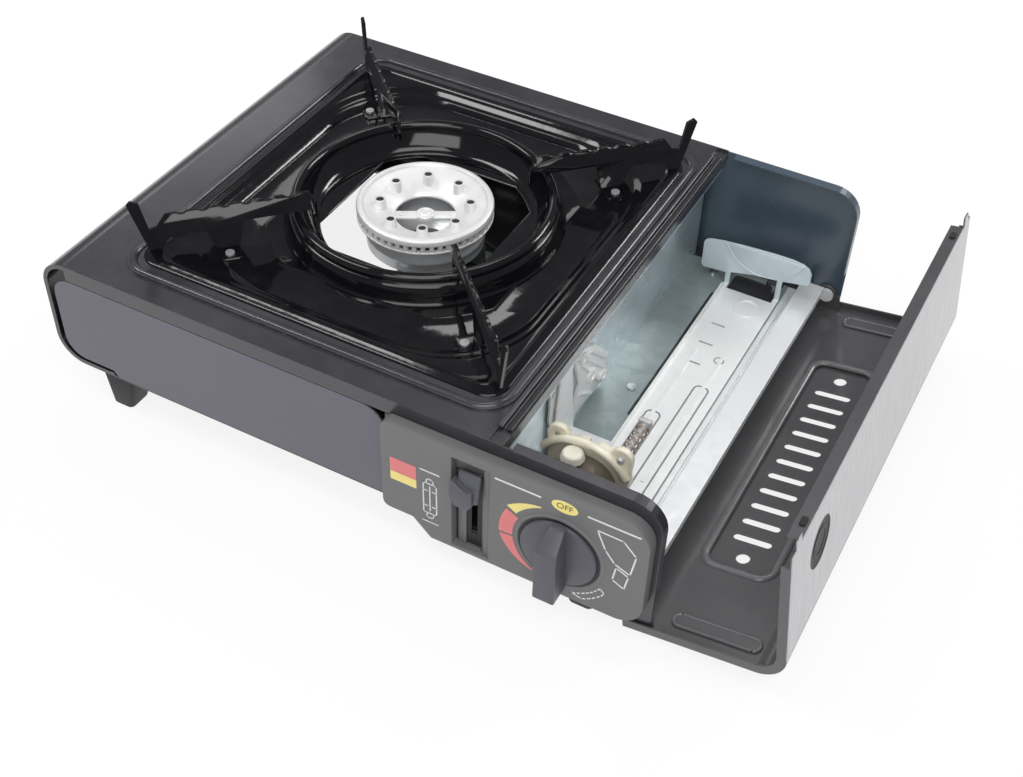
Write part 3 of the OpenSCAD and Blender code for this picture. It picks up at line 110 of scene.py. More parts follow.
class Tree:
    """A short way to write a node tree."""

    def __init__(self, tree: bpy.types.NodeTree) -> None:
        """Keeps the tree that the nodes go in."""
        self.tree = tree

    def node(self, kind: str, inputs: dict[Any, Any] | None = None, **settings: Any) -> bpy.types.Node:
        """Adds a node.

        Args:
            kind: The node's type, without the leading "ShaderNode".
            inputs: Values or output sockets for its inputs, by name or number.
            settings: Attributes of the node.

        Returns:
            The new node.
        """
        made = self.tree.nodes.new("ShaderNode" + kind)
        for name, value in settings.items():
            setattr(made, name, value)
        for name, value in (inputs or {}).items():
            self.feed(made.inputs[name], value)
        return made

    def feed(self, socket: bpy.types.NodeSocket, value: Any) -> None:
        """Links an output socket to an input, or sets the input's value.

        Args:
            socket: The input.
            value: An output socket, a number, a vector or a colour.
        """
        if isinstance(value, bpy.types.NodeSocket):
            self.tree.links.new(value, socket)
        elif isinstance(value, tuple) and len(value) == 3 and socket.type == "RGBA":
            socket.default_value = (*value, 1.0)
        else:
            socket.default_value = value

    def math(self, operation: str, a: Any, b: Any = 0.0, clamp: bool = False) -> bpy.types.NodeSocket:
        """Adds a Math node and returns its output."""
        return self.node("Math", {0: a, 1: b}, operation=operation, use_clamp=clamp).outputs[0]

    def vector(self, operation: str, a: Any, b: Any = (0.0, 0.0, 0.0)) -> bpy.types.Node:
        """Adds a Vector Math node and returns it."""
        return self.node("VectorMath", {0: a, 1: b}, operation=operation)

    def span(self, value: Any, low: float, high: float, to_low: Any = 0.0,
             to_high: Any = 1.0) -> bpy.types.NodeSocket:
        """Maps a value from one span to another, held at both ends.

        Args:
            value: The value.
            low: Start of its span.
            high: End of its span.
            to_low: What the start becomes.
            to_high: What the end becomes.

        Returns:
            The output socket.
        """
        made = self.node("MapRange", {"Value": value, "From Min": low, "From Max": high})
        self.feed(made.inputs["To Min"], to_low)
        self.feed(made.inputs["To Max"], to_high)
        return made.outputs[0]

    def mix(self, share: Any, a: Any, b: Any, blend: str = "MIX") -> bpy.types.NodeSocket:
        """Mixes two colours.

        Args:
            share: How far the mix goes from the first to the second.
            a: The first colour.
            b: The second colour.
            blend: The node's blend type.

        Returns:
            The output socket.
        """
        made = self.node("Mix", data_type="RGBA", blend_type=blend)
        self.feed(made.inputs[0], share)
        self.feed(made.inputs[6], a)
        self.feed(made.inputs[7], b)
        return made.outputs[2]

    def noise(self, start: bpy.types.Node, detail: Any, roughness: float = 0.5, scale: str = "Scale",
              distortion: float = 0.0) -> bpy.types.NodeSocket:
        """Adds a noise to a shared effect.

        Args:
            start: The effect's Group Input node, whose Vector the noise follows.
            detail: Detail of the noise.
            roughness: Roughness of the noise.
            scale: The effect's input that gives the noise's scale.
            distortion: Distortion of the noise.

        Returns:
            The noise's value.
        """
        return self.node("TexNoise", {
            "Vector": start.outputs["Vector"], "Scale": start.outputs[scale], "Detail": detail,
            "Roughness": roughness, "Distortion": distortion}).outputs[0]

    def group(self, effect: bpy.types.NodeTree, inputs: dict[str, Any]) -> bpy.types.Node:
        """Places a shared effect in this material.

        Args:
            effect: The effect's node group.
            inputs: Values or output sockets for its inputs, by name.

        Returns:
            The group's node.
        """
        made = self.node("Group")
        made.node_tree = effect
        for name, value in inputs.items():
            self.feed(made.inputs[name], value)
        return made


def effect_tree(name: str, inputs: Sequence[tuple[str, str, float]],
                outputs: Sequence[tuple[str, str]]) -> Tree:
    """Starts a shader node group.

    Args:
        name: The group's name.
        inputs: The name, kind ("Float" or "Vector") and default of each input.
        outputs: The name and kind ("Float", "Vector" or "Color") of each output.

    Returns:
        The group's tree, with its Group Input and Group Output nodes named "in" and "out".
    """
    tree = bpy.data.node_groups.new(name, "ShaderNodeTree")
    for label, kind, default in inputs:
        socket = tree.interface.new_socket(name=label, in_out="INPUT", socket_type="NodeSocket" + kind)
        if kind == "Float":
            socket.default_value = default
    for label, kind in outputs:
        tree.interface.new_socket(name=label, in_out="OUTPUT", socket_type="NodeSocket" + kind)
    tree.nodes.new("NodeGroupInput").name = "in"
    tree.nodes.new("NodeGroupOutput").name = "out"
    return Tree(tree)


class Effects:
    """The effects that several finishes share, each a node group that is built once."""

    def __init__(self) -> None:
        """Builds every group."""
        self.grain = self._grain()
        self.blotch = self._blotch()
        self.edge_wear = self._edge_wear()
        self.dust = self._dust()
        self.hairline = self._hairline()
        self.spangle = self._spangle()

    @staticmethod
    def _grain() -> bpy.types.NodeTree:
        """A fine even grain, such as paint's orange peel or a moulded texture."""
        t = effect_tree("grain",
                        [("Vector", "Vector", 0), ("Scale", "Float", 2000), ("Detail", "Float", 2)],
                        [("Height", "Float"), ("Mask", "Float")])
        start, end = t.tree.nodes["in"], t.tree.nodes["out"]
        noise = t.noise(start, start.outputs["Detail"], 0.55)
        t.feed(end.inputs["Height"], noise)
        t.feed(end.inputs["Mask"], t.span(noise, 0.35, 0.65))
        return t.tree

    @staticmethod
    def _blotch() -> bpy.types.NodeTree:
        """Soft large patches, for uneven gloss and tone."""
        t = effect_tree("blotch", [("Vector", "Vector", 0), ("Scale", "Float", 12)], [("Mask", "Float")])
        start, end = t.tree.nodes["in"], t.tree.nodes["out"]
        t.feed(end.inputs["Mask"], t.span(t.noise(start, 4.0, 0.6, distortion=0.4), 0.32, 0.68))
        return t.tree

    @staticmethod
    def _edge_wear() -> bpy.types.NodeTree:
        """A mask of outer and inner edges, broken up by noise, and the normal of a slightly rounded edge."""
        t = effect_tree("edge_wear",
                        [("Vector", "Vector", 0), ("Radius", "Float", 0.0006), ("Breakup", "Float", 300)],
                        [("Mask", "Float"), ("Normal", "Vector")])
        start, end = t.tree.nodes["in"], t.tree.nodes["out"]
        rounded = t.node("Bevel", {"Radius": start.outputs["Radius"]}, samples=4)
        face = t.node("NewGeometry")
        along = t.vector("DOT_PRODUCT", rounded.outputs[0], face.outputs["True Normal"])
        edge = t.span(along.outputs["Value"], 0.985, 0.8)
        patches = t.span(t.noise(start, 3.0, scale="Breakup"), 0.42, 0.62)
        t.feed(end.inputs["Mask"], t.math("MULTIPLY", edge, patches))
        t.feed(end.inputs["Normal"], rounded.outputs[0])
        return t.tree

    @staticmethod
    def _dust() -> bpy.types.NodeTree:
        """A thin uneven film that gathers on faces that look up."""
        t = effect_tree("dust", [("Vector", "Vector", 0), ("Scale", "Float", 60)], [("Mask", "Float")])
        start, end = t.tree.nodes["in"], t.tree.nodes["out"]
        face = t.node("NewGeometry")
        up = t.node("SeparateXYZ", {0: face.outputs["Normal"]}).outputs[2]
        patches = t.span(t.noise(start, 6.0, 0.7), 0.45, 0.75)
        t.feed(end.inputs["Mask"], t.math("MULTIPLY", t.span(up, 0.4, 1.0), patches))
        return t.tree

    @staticmethod
    def _hairline() -> bpy.types.NodeTree:
        """Fine lines along one direction: the vector is stretched before it comes in."""
        t = effect_tree("hairline", [("Vector", "Vector", 0), ("Scale", "Float", 400)],
                        [("Mask", "Float"), ("Height", "Float")])
        start, end = t.tree.nodes["in"], t.tree.nodes["out"]
        noise = t.noise(start, 5.0, 0.75)
        t.feed(end.inputs["Mask"], t.span(noise, 0.3, 0.7))
        t.feed(end.inputs["Height"], noise)
        return t.tree

    @staticmethod
    def _spangle() -> bpy.types.NodeTree:
        """The crystal patches of hot-dipped zinc."""
        t = effect_tree("spangle", [("Vector", "Vector", 0), ("Scale", "Float", 90)],
                        [("Mask", "Float"), ("Border", "Float")])
        start, end = t.tree.nodes["in"], t.tree.nodes["out"]
        bend = t.node("TexNoise", {"Vector": start.outputs["Vector"], "Scale": 60.0, "Detail": 2.0})
        shift = t.node("VectorMath", {0: bend.outputs["Color"], "Scale": 0.012}, operation="SCALE")
        moved = t.vector("ADD", start.outputs["Vector"], shift.outputs[0])
        cells = t.node("TexVoronoi", {"Vector": moved.outputs[0], "Scale": start.outputs["Scale"]})
        tone = t.node("SeparateColor", {0: cells.outputs["Color"]}).outputs[0]
        rim = t.node("TexVoronoi", {"Vector": moved.outputs[0], "Scale": start.outputs["Scale"]},
                     feature="DISTANCE_TO_EDGE")
        t.feed(end.inputs["Mask"], tone)
        t.feed(end.inputs["Border"], t.span(rim.outputs["Distance"], 0.0, 0.08, 1.0, 0.0))
        return t.tree


# ---- Finishes


class Slot(Enum):
    """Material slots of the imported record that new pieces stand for."""

    CASE = "case_paint"
    ENAMEL = "enamel"
    ZINC = "zinc_sheet"
    CAST = "die_cast"
    STEEL = "steel"
    BURNER = "burner_alloy"
    RUBBER = "rubber"
    FOOT = "foot_plastic"
    PANEL = "panel_plastic"
    KNOB = "knob_plastic"


DUST_COLOUR = (0.5, 0.48, 0.45)


@dataclass(frozen=True)
class Finish:
    """A painted, moulded or bare surface.

    Attributes:
        name: The material's name.
        base: Main colour.
        tone: Second colour, which soft patches mix in.
        tone_share: How far the patches go towards the second colour.
        rough: Lowest and highest roughness.
        metallic: Share of bare metal.
        coat: Weight of the clear coat.
        coat_rough: Roughness of the clear coat.
        specular: Specular level.
        grain: Scale of the fine grain.
        bump: Depth of the grain, in millimetres.
        blotch: Scale of the soft patches.
        edge: Radius of the rounded edges, in millimetres.
        wear: Colour that shows at worn edges.
        wear_share: How far worn edges show it.
        dust: Share of the film on faces that look up.
    """

    name: str
    base: Colour
    tone: Colour
    tone_share: float = 0.5
    rough: tuple[float, float] = (0.35, 0.5)
    metallic: float = 0.0
    coat: float = 0.0
    coat_rough: float = 0.05
    specular: float = 0.5
    grain: float = 1500.0
    bump: float = 0.02
    blotch: float = 14.0
    edge: float = 0.5
    wear: Colour = (0.3, 0.3, 0.31)
    wear_share: float = 0.25
    dust: float = 0.03

    def vector(self, t: Tree) -> bpy.types.NodeSocket:
        """Gives the coordinates that the patterns follow."""
        return t.node("TexCoord").outputs["Object"]

    def build(self, effects: Effects) -> bpy.types.Material:
        """Builds the material.

        Args:
            effects: The shared node groups.

        Returns:
            The material.
        """
        made = bpy.data.materials.new(self.name)
        made.use_nodes = True
        made.node_tree.nodes.clear()
        t = Tree(made.node_tree)
        vector = self.vector(t)
        grain = t.group(effects.grain, {"Vector": vector, "Scale": self.grain})
        blotch = t.group(effects.blotch, {"Vector": vector, "Scale": self.blotch})
        wear = t.group(effects.edge_wear, {"Vector": vector, "Radius": self.edge * MM})
        dust = t.group(effects.dust, {"Vector": vector})
        colour, rough, height = self.pattern(t, effects, vector, grain, blotch)
        colour = t.mix(t.math("MULTIPLY", wear.outputs["Mask"], self.wear_share), colour, self.wear)
        colour = t.mix(t.math("MULTIPLY", dust.outputs["Mask"], self.dust), colour, DUST_COLOUR)
        bump = t.node("Bump", {"Height": height, "Distance": self.bump * MM, "Strength": 1.0,
                               "Normal": wear.outputs["Normal"]})
        shader = t.node("BsdfPrincipled", {
            "Base Color": colour, "Roughness": rough, "Metallic": self.metallic, "Coat Weight": self.coat,
            "Coat Roughness": self.coat_rough, "Specular IOR Level": self.specular,
            "Normal": bump.outputs[0]})
        out = t.node("OutputMaterial")
        t.feed(out.inputs[0], shader.outputs[0])
        made.diffuse_color = (*self.base, 1.0)
        return made

    def pattern(self, t: Tree, effects: Effects, vector: Any, grain: Any,
                blotch: Any) -> tuple[Any, Any, Any]:
        """Makes the surface's own pattern.

        Args:
            t: The material's tree.
            effects: The shared node groups.
            vector: The coordinates.
            grain: The placed grain group.
            blotch: The placed patch group.

        Returns:
            Sockets for the colour, the roughness and the height.
        """
        share = t.math("MULTIPLY", blotch.outputs["Mask"], self.tone_share)
        colour = t.mix(share, self.base, self.tone)
        rough = t.span(t.math("ADD", t.math("MULTIPLY", blotch.outputs["Mask"], 0.6),
                              t.math("MULTIPLY", grain.outputs["Mask"], 0.4)), 0.0, 1.0, *self.rough)
        return colour, rough, grain.outputs["Height"]


@dataclass(frozen=True)
class HairlineFinish(Finish):
    """A metal with fine lines along one direction.

    Attributes:
        stretch: Scale of the coordinates on each axis; the lines run along the axis with the smallest one.
        lines: Lines per metre.
    """

    stretch: Point = (1.0, 0.02, 1.0)
    lines: float = 900.0

    def pattern(self, t: Tree, effects: Effects, vector: Any, grain: Any,
                blotch: Any) -> tuple[Any, Any, Any]:
        """Adds the lines to the patches.

        Args:
            t: The material's tree.
            effects: The shared node groups.
            vector: The coordinates.
            grain: The placed grain group.
            blotch: The placed patch group.

        Returns:
            Sockets for the colour, the roughness and the height.
        """
        pulled = t.node("Mapping", {"Vector": vector, "Scale": self.stretch})
        lines = t.group(effects.hairline, {"Vector": pulled.outputs[0], "Scale": self.lines})
        both = t.math("ADD", t.math("MULTIPLY", lines.outputs["Mask"], 0.7),
                      t.math("MULTIPLY", blotch.outputs["Mask"], 0.3))
        colour = t.mix(t.math("MULTIPLY", both, self.tone_share), self.base, self.tone)
        return colour, t.span(both, 0.0, 1.0, *self.rough), lines.outputs["Height"]


@dataclass(frozen=True)
class SpangleFinish(Finish):
    """Galvanised sheet.

    Attributes:
        cells: Crystals per metre.
        rail_highlight_from: Case X from which the sheet is painted near-white, in millimetres: a painted
            highlight on the tray's right rail, where it catches the light.
        rail: The painted highlight's colour.
    """

    cells: float = 95.0
    rail_highlight_from: float = 1000.0
    rail: Colour = (0.92, 0.93, 0.93)

    def pattern(self, t: Tree, effects: Effects, vector: Any, grain: Any,
                blotch: Any) -> tuple[Any, Any, Any]:
        """Adds the crystal patches, and a painted highlight: the sheet is near-white right of
        rail_highlight_from.

        Args:
            t: The material's tree.
            effects: The shared node groups.
            vector: The coordinates.
            grain: The placed grain group.
            blotch: The placed patch group.

        Returns:
            Sockets for the colour, the roughness and the height.
        """
        spangle = t.group(effects.spangle, {"Vector": vector, "Scale": self.cells})
        both = t.math("ADD", t.math("MULTIPLY", spangle.outputs["Mask"], 0.6),
                      t.math("MULTIPLY", blotch.outputs["Mask"], 0.4))
        colour = t.mix(t.math("MULTIPLY", both, self.tone_share), self.base, self.tone)
        # Painted highlight: right of rail_highlight_from the sheet turns near-white, standing for the tray's
        # rail where it catches the light.
        across = t.node("SeparateXYZ", {"Vector": vector}).outputs["X"]
        rail = t.math("GREATER_THAN", across, (self.rail_highlight_from - CASE_SHIFT.x) * MM)
        colour = t.mix(rail, colour, t.mix(t.math("MULTIPLY", both, 0.15), self.rail, self.base))
        rough = t.span(both, 0.0, 1.0, *self.rough)
        height = t.math("ADD", t.math("MULTIPLY", grain.outputs["Height"], 0.5),
                        t.math("MULTIPLY", spangle.outputs["Border"], -0.15))
        return colour, rough, height


@dataclass(frozen=True)
class LidFinish(Finish):
    """Satin paint, with a hairline face on the outside of the lid's top panel.

    Attributes:
        pivot: A point on the hinge line, in metres.
        out: Direction that the top panel faces, as the lid lies open.
        reach: Distance of that face from the hinge line, in metres.
        down: Direction in the panel towards the hinge.
        end: Distance along it at which the face turns into the rounded corner, in metres.
        face: Colour of the hairline face.
        face_dark: Colour of its dark lines.
    """

    pivot: Point = (0.0, 0.0, 0.0)
    out: Point = (1.0, 0.0, 0.0)
    reach: float = 0.0
    down: Point = (0.0, 0.0, -1.0)
    end: float = 0.0
    face: Colour = (0.52, 0.52, 0.53)
    face_dark: Colour = (0.2, 0.2, 0.21)

    def pattern(self, t: Tree, effects: Effects, vector: Any, grain: Any,
                blotch: Any) -> tuple[Any, Any, Any]:
        """Adds the hairline face.

        Args:
            t: The material's tree.
            effects: The shared node groups.
            vector: The coordinates.
            grain: The placed grain group.
            blotch: The placed patch group.

        Returns:
            Sockets for the colour, the roughness and the height.
        """
        colour, rough, height = super().pattern(t, effects, vector, grain, blotch)
        from_hinge = t.vector("SUBTRACT", vector, self.pivot).outputs[0]
        proud = t.vector("DOT_PRODUCT", from_hinge, self.out).outputs["Value"]
        along = t.vector("DOT_PRODUCT", from_hinge, self.down).outputs["Value"]
        outside = t.math("MULTIPLY", t.math("GREATER_THAN", proud, self.reach - 0.4 * MM),
                         t.span(along, self.end - 0.5 * MM, self.end + 1.5 * MM, 1.0, 0.0))
        pulled = t.node("Mapping", {"Vector": vector, "Scale": (0.03, 1.0, 0.03)})
        lines = t.group(effects.hairline, {"Vector": pulled.outputs[0], "Scale": 1500.0})
        face = t.mix(t.math("MULTIPLY", lines.outputs["Mask"], 0.8), self.face, self.face_dark)
        rough = t.math("ADD", rough, t.math("MULTIPLY", outside, 0.02))
        relief = t.math("MULTIPLY", t.math("MULTIPLY", lines.outputs["Height"], outside), 0.6)
        return t.mix(outside, colour, face), rough, t.math("ADD", height, relief)


# ---- Pieces


class Workshop:
    """Builds materials once, and turns bmeshes into pieces that ride on the CAD bodies.

    Attributes:
        MERGE: Distance within which a CAD node's loose vertices are joined, in millimetres.
        FLAT: Angle below which its faces are one face, in degrees.
        SHARP: Angle above which its edges are rounded, in degrees.
    """

    MERGE = 0.002
    FLAT = 1.0
    SHARP = 40.0

    def __init__(self, frame: dict[str, Any]) -> None:
        """Keeps the frame and builds the shared effects."""
        self.frame = frame
        self.effects = Effects()
        self.materials: dict[str, bpy.types.Material] = {}

    def material(self, finish: Finish) -> bpy.types.Material:
        """Gives a finish's material, built the first time."""
        if finish.name not in self.materials:
            self.materials[finish.name] = finish.build(self.effects)
        return self.materials[finish.name]

    def dress(self, nodes: Iterable[str], finish: Finish) -> None:
        """Gives CAD nodes a finish.

        Args:
            nodes: The nodes' names.
            finish: The finish.
        """
        for name in nodes:
            for slot in self.frame["nodes"][name].material_slots:
                slot.material = self.material(finish)
            LOG.info("dressed %s in %s", name, finish.name)

    def softened(self, node: str, name: str, finish: Finish, body: str, slot: Slot, width: float,
                 segments: int = 2) -> bpy.types.Object:
        """Makes a copy of a CAD node with rounded edges, which stands for the node.

        Args:
            node: The CAD node.
            name: The piece's name.
            finish: Its finish.
            body: The CAD body that it rides on.
            slot: The record's material slot that it stands for.
            width: Width of the rounding, in millimetres.
            segments: Segments of the rounding.

        Returns:
            The new object.
        """
        bm = bmesh.new()
        bm.from_mesh(self.frame["nodes"][node].data)
        bmesh.ops.scale(bm, vec=(1 / MM, 1 / MM, 1 / MM), verts=bm.verts)
        bmesh.ops.translate(bm, vec=CASE_SHIFT, verts=bm.verts)
        bmesh.ops.remove_doubles(bm, verts=bm.verts, dist=self.MERGE)
        bmesh.ops.dissolve_limit(bm, angle_limit=math.radians(self.FLAT), verts=bm.verts, edges=bm.edges)
        bevelled(bm, width, segments, self.SHARP, bm.edges)
        return self.piece(name, bm, finish, body, slot, (node,), 50.0)

    def piece(self, name: str, bm: Shape, finish: Finish, body: str, slot: Slot,
              replaces: Sequence[str] = (), smooth: float = 35.0) -> bpy.types.Object:
        """Turns a bmesh in case millimetres into a piece.

        Args:
            name: The piece's name.
            bm: The shape. It is freed.
            finish: Its finish.
            body: The CAD body that it rides on.
            slot: The record's material slot that it stands for. Not used.
            replaces: CAD nodes that it stands for.
            smooth: Faces that meet at less than this angle, in degrees, are shaded smooth.

        Returns:
            The new object.
        """
        bmesh.ops.translate(bm, vec=-CASE_SHIFT, verts=bm.verts)
        bmesh.ops.scale(bm, vec=(MM, MM, MM), verts=bm.verts)
        bmesh.ops.recalc_face_normals(bm, faces=bm.faces)
        mesh = bpy.data.meshes.new(name)
        bm.to_mesh(mesh)
        bm.free()
        mesh.shade_smooth()
        mesh.set_sharp_from_angle(angle=math.radians(smooth))
        mesh.materials.append(self.material(finish))
        made = bpy.data.objects.new(name, mesh)
        bpy.context.scene.collection.objects.link(made)
        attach(made, body)
        if replaces:
            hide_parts(*replaces)
        LOG.info("made %s on %s, %d faces", name, body, len(mesh.polygons))
        return made


def block(bm: Shape, low: Point, high: Point) -> Verts:
    """Adds a block, whose edges are rounded next.

    Args:
        bm: The bmesh that it goes in.
        low: Its lowest corner.
        high: Its highest corner.

    Returns:
        Its vertices.
    """
    size = [b - a for a, b in zip(low, high)]
    middle = [(a + b) / 2 for a, b in zip(low, high)]
    matrix = Matrix.Translation(middle) @ Matrix.Diagonal((*size, 1.0))
    return bmesh.ops.create_cube(bm, size=1.0, matrix=matrix)["verts"]


def extruded(bm: Shape, outline: Sequence[Point], way: Point) -> Verts:
    """Adds a prism of a flat outline.

    Args:
        bm: The bmesh that it goes in.
        outline: The outline.
        way: Where the outline is extruded to.

    Returns:
        Its vertices.
    """
    face = bm.faces.new([bm.verts.new(p) for p in outline])
    first = list(face.verts)
    made = bmesh.ops.extrude_face_region(bm, geom=[face])["geom"]
    moved = [g for g in made if isinstance(g, bmesh.types.BMVert)]
    bmesh.ops.translate(bm, vec=way, verts=moved)
    return first + moved


def plate(bm: Shape, outline: Sequence[Flat], y: float, depth: float) -> Verts:
    """Adds a flat plate of an outline in X and Z, from y forwards by depth, and returns its vertices."""
    return extruded(bm, [(x, y, z) for x, z in outline], (0.0, -depth, 0.0))


def spun(bm: Shape, profile: Sequence[Flat], centre: Point, axis: Point, steps: int = 72) -> None:
    """Spins a profile round an axis.

    Args:
        bm: The bmesh that the shape goes in.
        profile: Radius and distance along the axis of each point.
        centre: Where the axis starts.
        axis: The axis, a unit vector.
        steps: Number of segments of a full turn.
    """
    way = Vector(axis)
    side = way.orthogonal().normalized()
    base = Vector(centre)
    verts = [bm.verts.new(base + side * r + way * h) for r, h in profile]
    edges = [bm.edges.new(pair) for pair in zip(verts, verts[1:])]
    bmesh.ops.spin(bm, geom=verts + edges, cent=base, axis=way, dvec=(0.0, 0.0, 0.0), angle=math.tau,
                   steps=steps, use_merge=True)
    bmesh.ops.remove_doubles(bm, verts=bm.verts, dist=0.001)


def lofted(bm: Shape, loops: Sequence[Sequence[Point]], closed: bool = False,
           capped: bool = False) -> None:
    """Joins loops of equal length by extruding each one onto the next.

    Args:
        bm: The bmesh that the shape goes in.
        loops: The loops, each closed on itself.
        closed: Whether the last loop joins the first one.
        capped: Whether the first and last loops are filled.
    """
    first = [bm.verts.new(p) for p in loops[0]]
    edges = [bm.edges.new((first[i - 1], first[i])) for i in range(len(first))]
    if capped:
        bmesh.ops.contextual_create(bm, geom=edges)
    verts = first
    for loop in list(loops[1:]) + ([loops[0]] if closed else []):
        made = bmesh.ops.extrude_edge_only(bm, edges=edges)["geom"]
        fresh = {g for g in made if isinstance(g, bmesh.types.BMVert)}
        verts = [next(e.other_vert(v) for e in v.link_edges if e.other_vert(v) in fresh) for v in verts]
        for vert, point in zip(verts, loop):
            vert.co = point
        edges = [bm.edges.get((verts[i - 1], verts[i])) for i in range(len(verts))]
    if closed:
        bmesh.ops.weld_verts(bm, targetmap=dict(zip(verts, first)))
    if capped:
        bmesh.ops.contextual_create(bm, geom=edges)


def swept(bm: Shape, path: Sequence[Point], r: float, steps: int = 8, flat: float = 1.0) -> None:
    """Adds a round bead along an open path, with its ends closed.

    Args:
        bm: The bmesh that the shape goes in.
        path: Points of the path.
        r: Radius of the bead.
        steps: Sides of the bead.
        flat: Share of the radius that the bead has in height.
    """
    points = [Vector(p) for p in path]
    loops = []
    for i, point in enumerate(points):
        ahead = (points[min(i + 1, len(points) - 1)] - points[max(i - 1, 0)]).normalized()
        side = ahead.cross(Vector((0.0, 0.0, 1.0)))
        side = (side if side.length > 0.01 else ahead.cross(Vector((0.0, 1.0, 0.0)))).normalized()
        over = side.cross(ahead).normalized()
        loops.append([point + side * r * math.cos(a) + over * r * flat * math.sin(a)
                      for a in (math.tau * k / steps for k in range(steps))])
    lofted(bm, loops, capped=True)


def bevelled(bm: Shape, width: float, segments: int, angle: float,
             edges: Iterable[bmesh.types.BMEdge]) -> None:
    """Rounds those of some edges that are sharp.

    Args:
        bm: The bmesh.
        width: Width of the rounding.
        segments: Segments of the rounding.
        angle: An edge is sharp where its faces meet at more than this angle, in degrees.
        edges: The edges.
    """
    limit = math.radians(angle)
    sharp = [e for e in edges if len(e.link_faces) == 2 and e.calc_face_angle(0.0) > limit]
    bmesh.ops.bevel(bm, geom=sharp, offset=width, offset_type="OFFSET", segments=segments, profile=0.5,
                    affect="EDGES", material=-1, clamp_overlap=True)


def rounded_edges(bm: Shape, verts: Verts, width: float, segments: int = 2,
                  angle: float = 60.0) -> None:
    """Rounds the sharp edges that meet at some vertices. See bevelled."""
    bevelled(bm, width, segments, angle, dict.fromkeys(e for v in verts for e in v.link_edges))


def turned(bm: Shape, verts: Verts, centre: Point, angle: float, axis: str) -> None:
    """Turns vertices round an axis through a point, by an angle in degrees."""
    bmesh.ops.rotate(bm, cent=centre, matrix=Matrix.Rotation(math.radians(angle), 3, axis), verts=verts)


def arc_points(x: float, z: float, r: float, start: float, end: float, steps: int = 12) -> list[Flat]:
    """Points of an arc round (x, z), between two angles in degrees."""
    angles = [math.radians(start + (end - start) * i / steps) for i in range(steps + 1)]
    return [(x + r * math.cos(a), z + r * math.sin(a)) for a in angles]


def half_round(half: float, height: float, steps: int = 8) -> list[Flat]:
    """Points of a half-round bead's section, as the distance across and the height of each."""
    angles = [math.pi * k / steps for k in range(steps + 1)]
    return [(half * math.cos(a), height * math.sin(a)) for a in angles]


def rounded_loop(w: float, l: float, r: float, steps: int = 12) -> list[Flat]:
    """Points of a rounded rectangle round the origin.

    Args:
        w: Width.
        l: Length.
        r: Radius of the corners.
        steps: Segments of a corner.

    Returns:
        The points, in order.
    """
    corners = ((w / 2 - r, l / 2 - r, 0), (r - w / 2, l / 2 - r, 90), (r - w / 2, r - l / 2, 180),
               (w / 2 - r, r - l / 2, 270))
    return [p for x, y, a in corners for p in arc_points(x, y, r, a, a + 90, steps)]


def screw_head(bm: Shape, centre: Point, r: float, h: float) -> None:
    """Adds a pan head that looks up, with a cross recess.

    Args:
        bm: The bmesh that the head goes in.
        centre: Middle of its underside.
        r: Its radius.
        h: Its height.
    """
    x, y, z = centre
    recess = r * 0.62

    def ring(radius: float, height: float) -> list[Point]:
        """A circle of 24 points."""
        angles = [math.tau * (k + 0.5) / 24 for k in range(24)]
        return [(x + radius * math.cos(a), y + radius * math.sin(a), z + height) for a in angles]

    def star(reach: float, height: float) -> list[Point]:
        """The recess's outline: a cross with narrow arms, of 24 points as each circle has.

        Args:
            reach: Distance of the arms' ends from the middle.
            height: Height above the head's underside.

        Returns:
            The points.
        """
        arm = reach * 0.26
        quarter = [(reach, arm * 0.5), (reach * 0.7, arm), (arm * 1.05, arm), (arm, arm * 1.05),
                   (arm, reach * 0.7), (arm * 0.5, reach)]
        found = []
        for c, s in ((1, 0), (0, 1), (-1, 0), (0, -1)):
            found += [(x + u * c - v * s, y + u * s + v * c, z + height) for u, v in quarter]
        return found

    loops = [ring(r, 0.0), ring(r, h * 0.35), ring(r * 0.93, h * 0.68), ring(r * 0.78, h * 0.9),
             ring(r * 0.68, h), star(recess, h), star(recess * 0.8, h * 0.35)]
    lofted(bm, loops, capped=True)


# ---- Finishes of this stove

CASE_PAINT = Finish("case_paint_satin", (0.022, 0.021, 0.026), (0.038, 0.037, 0.043), rough=(0.24, 0.36),
                    coat=0.55, coat_rough=0.13, bump=0.012, grain=2200, wear=(0.25, 0.25, 0.26),
                    wear_share=0.35)
# A lighter copy of the case paint for the lid's beads: a painted highlight along them.
BEAD_HIGHLIGHT_PAINT = Finish("bead_paint_highlight", (0.11, 0.11, 0.114), (0.15, 0.15, 0.155), rough=(0.24, 0.36),
                    coat=0.6, coat_rough=0.12, bump=0.012, grain=2200, wear=(0.3, 0.3, 0.31),
                    wear_share=0.4)
REAR_PAINT = Finish("rear_paint_navy", (0.05, 0.075, 0.1), (0.07, 0.1, 0.13), rough=(0.25, 0.38), coat=0.3,
                    coat_rough=0.2, bump=0.01, wear_share=0.2)
FRONT_PAINT = Finish("front_paint_plum", (0.1, 0.095, 0.12), (0.125, 0.12, 0.146), rough=(0.34, 0.46),
                     coat=0.15, coat_rough=0.3, bump=0.012, grain=2200, wear_share=0.2)
ENAMEL = Finish("enamel_black", (0.0035, 0.0035, 0.0045), (0.006, 0.006, 0.008), rough=(0.05, 0.1),
                bump=0.06, grain=90, blotch=30, edge=0.8, wear_share=0.0, dust=0.01)
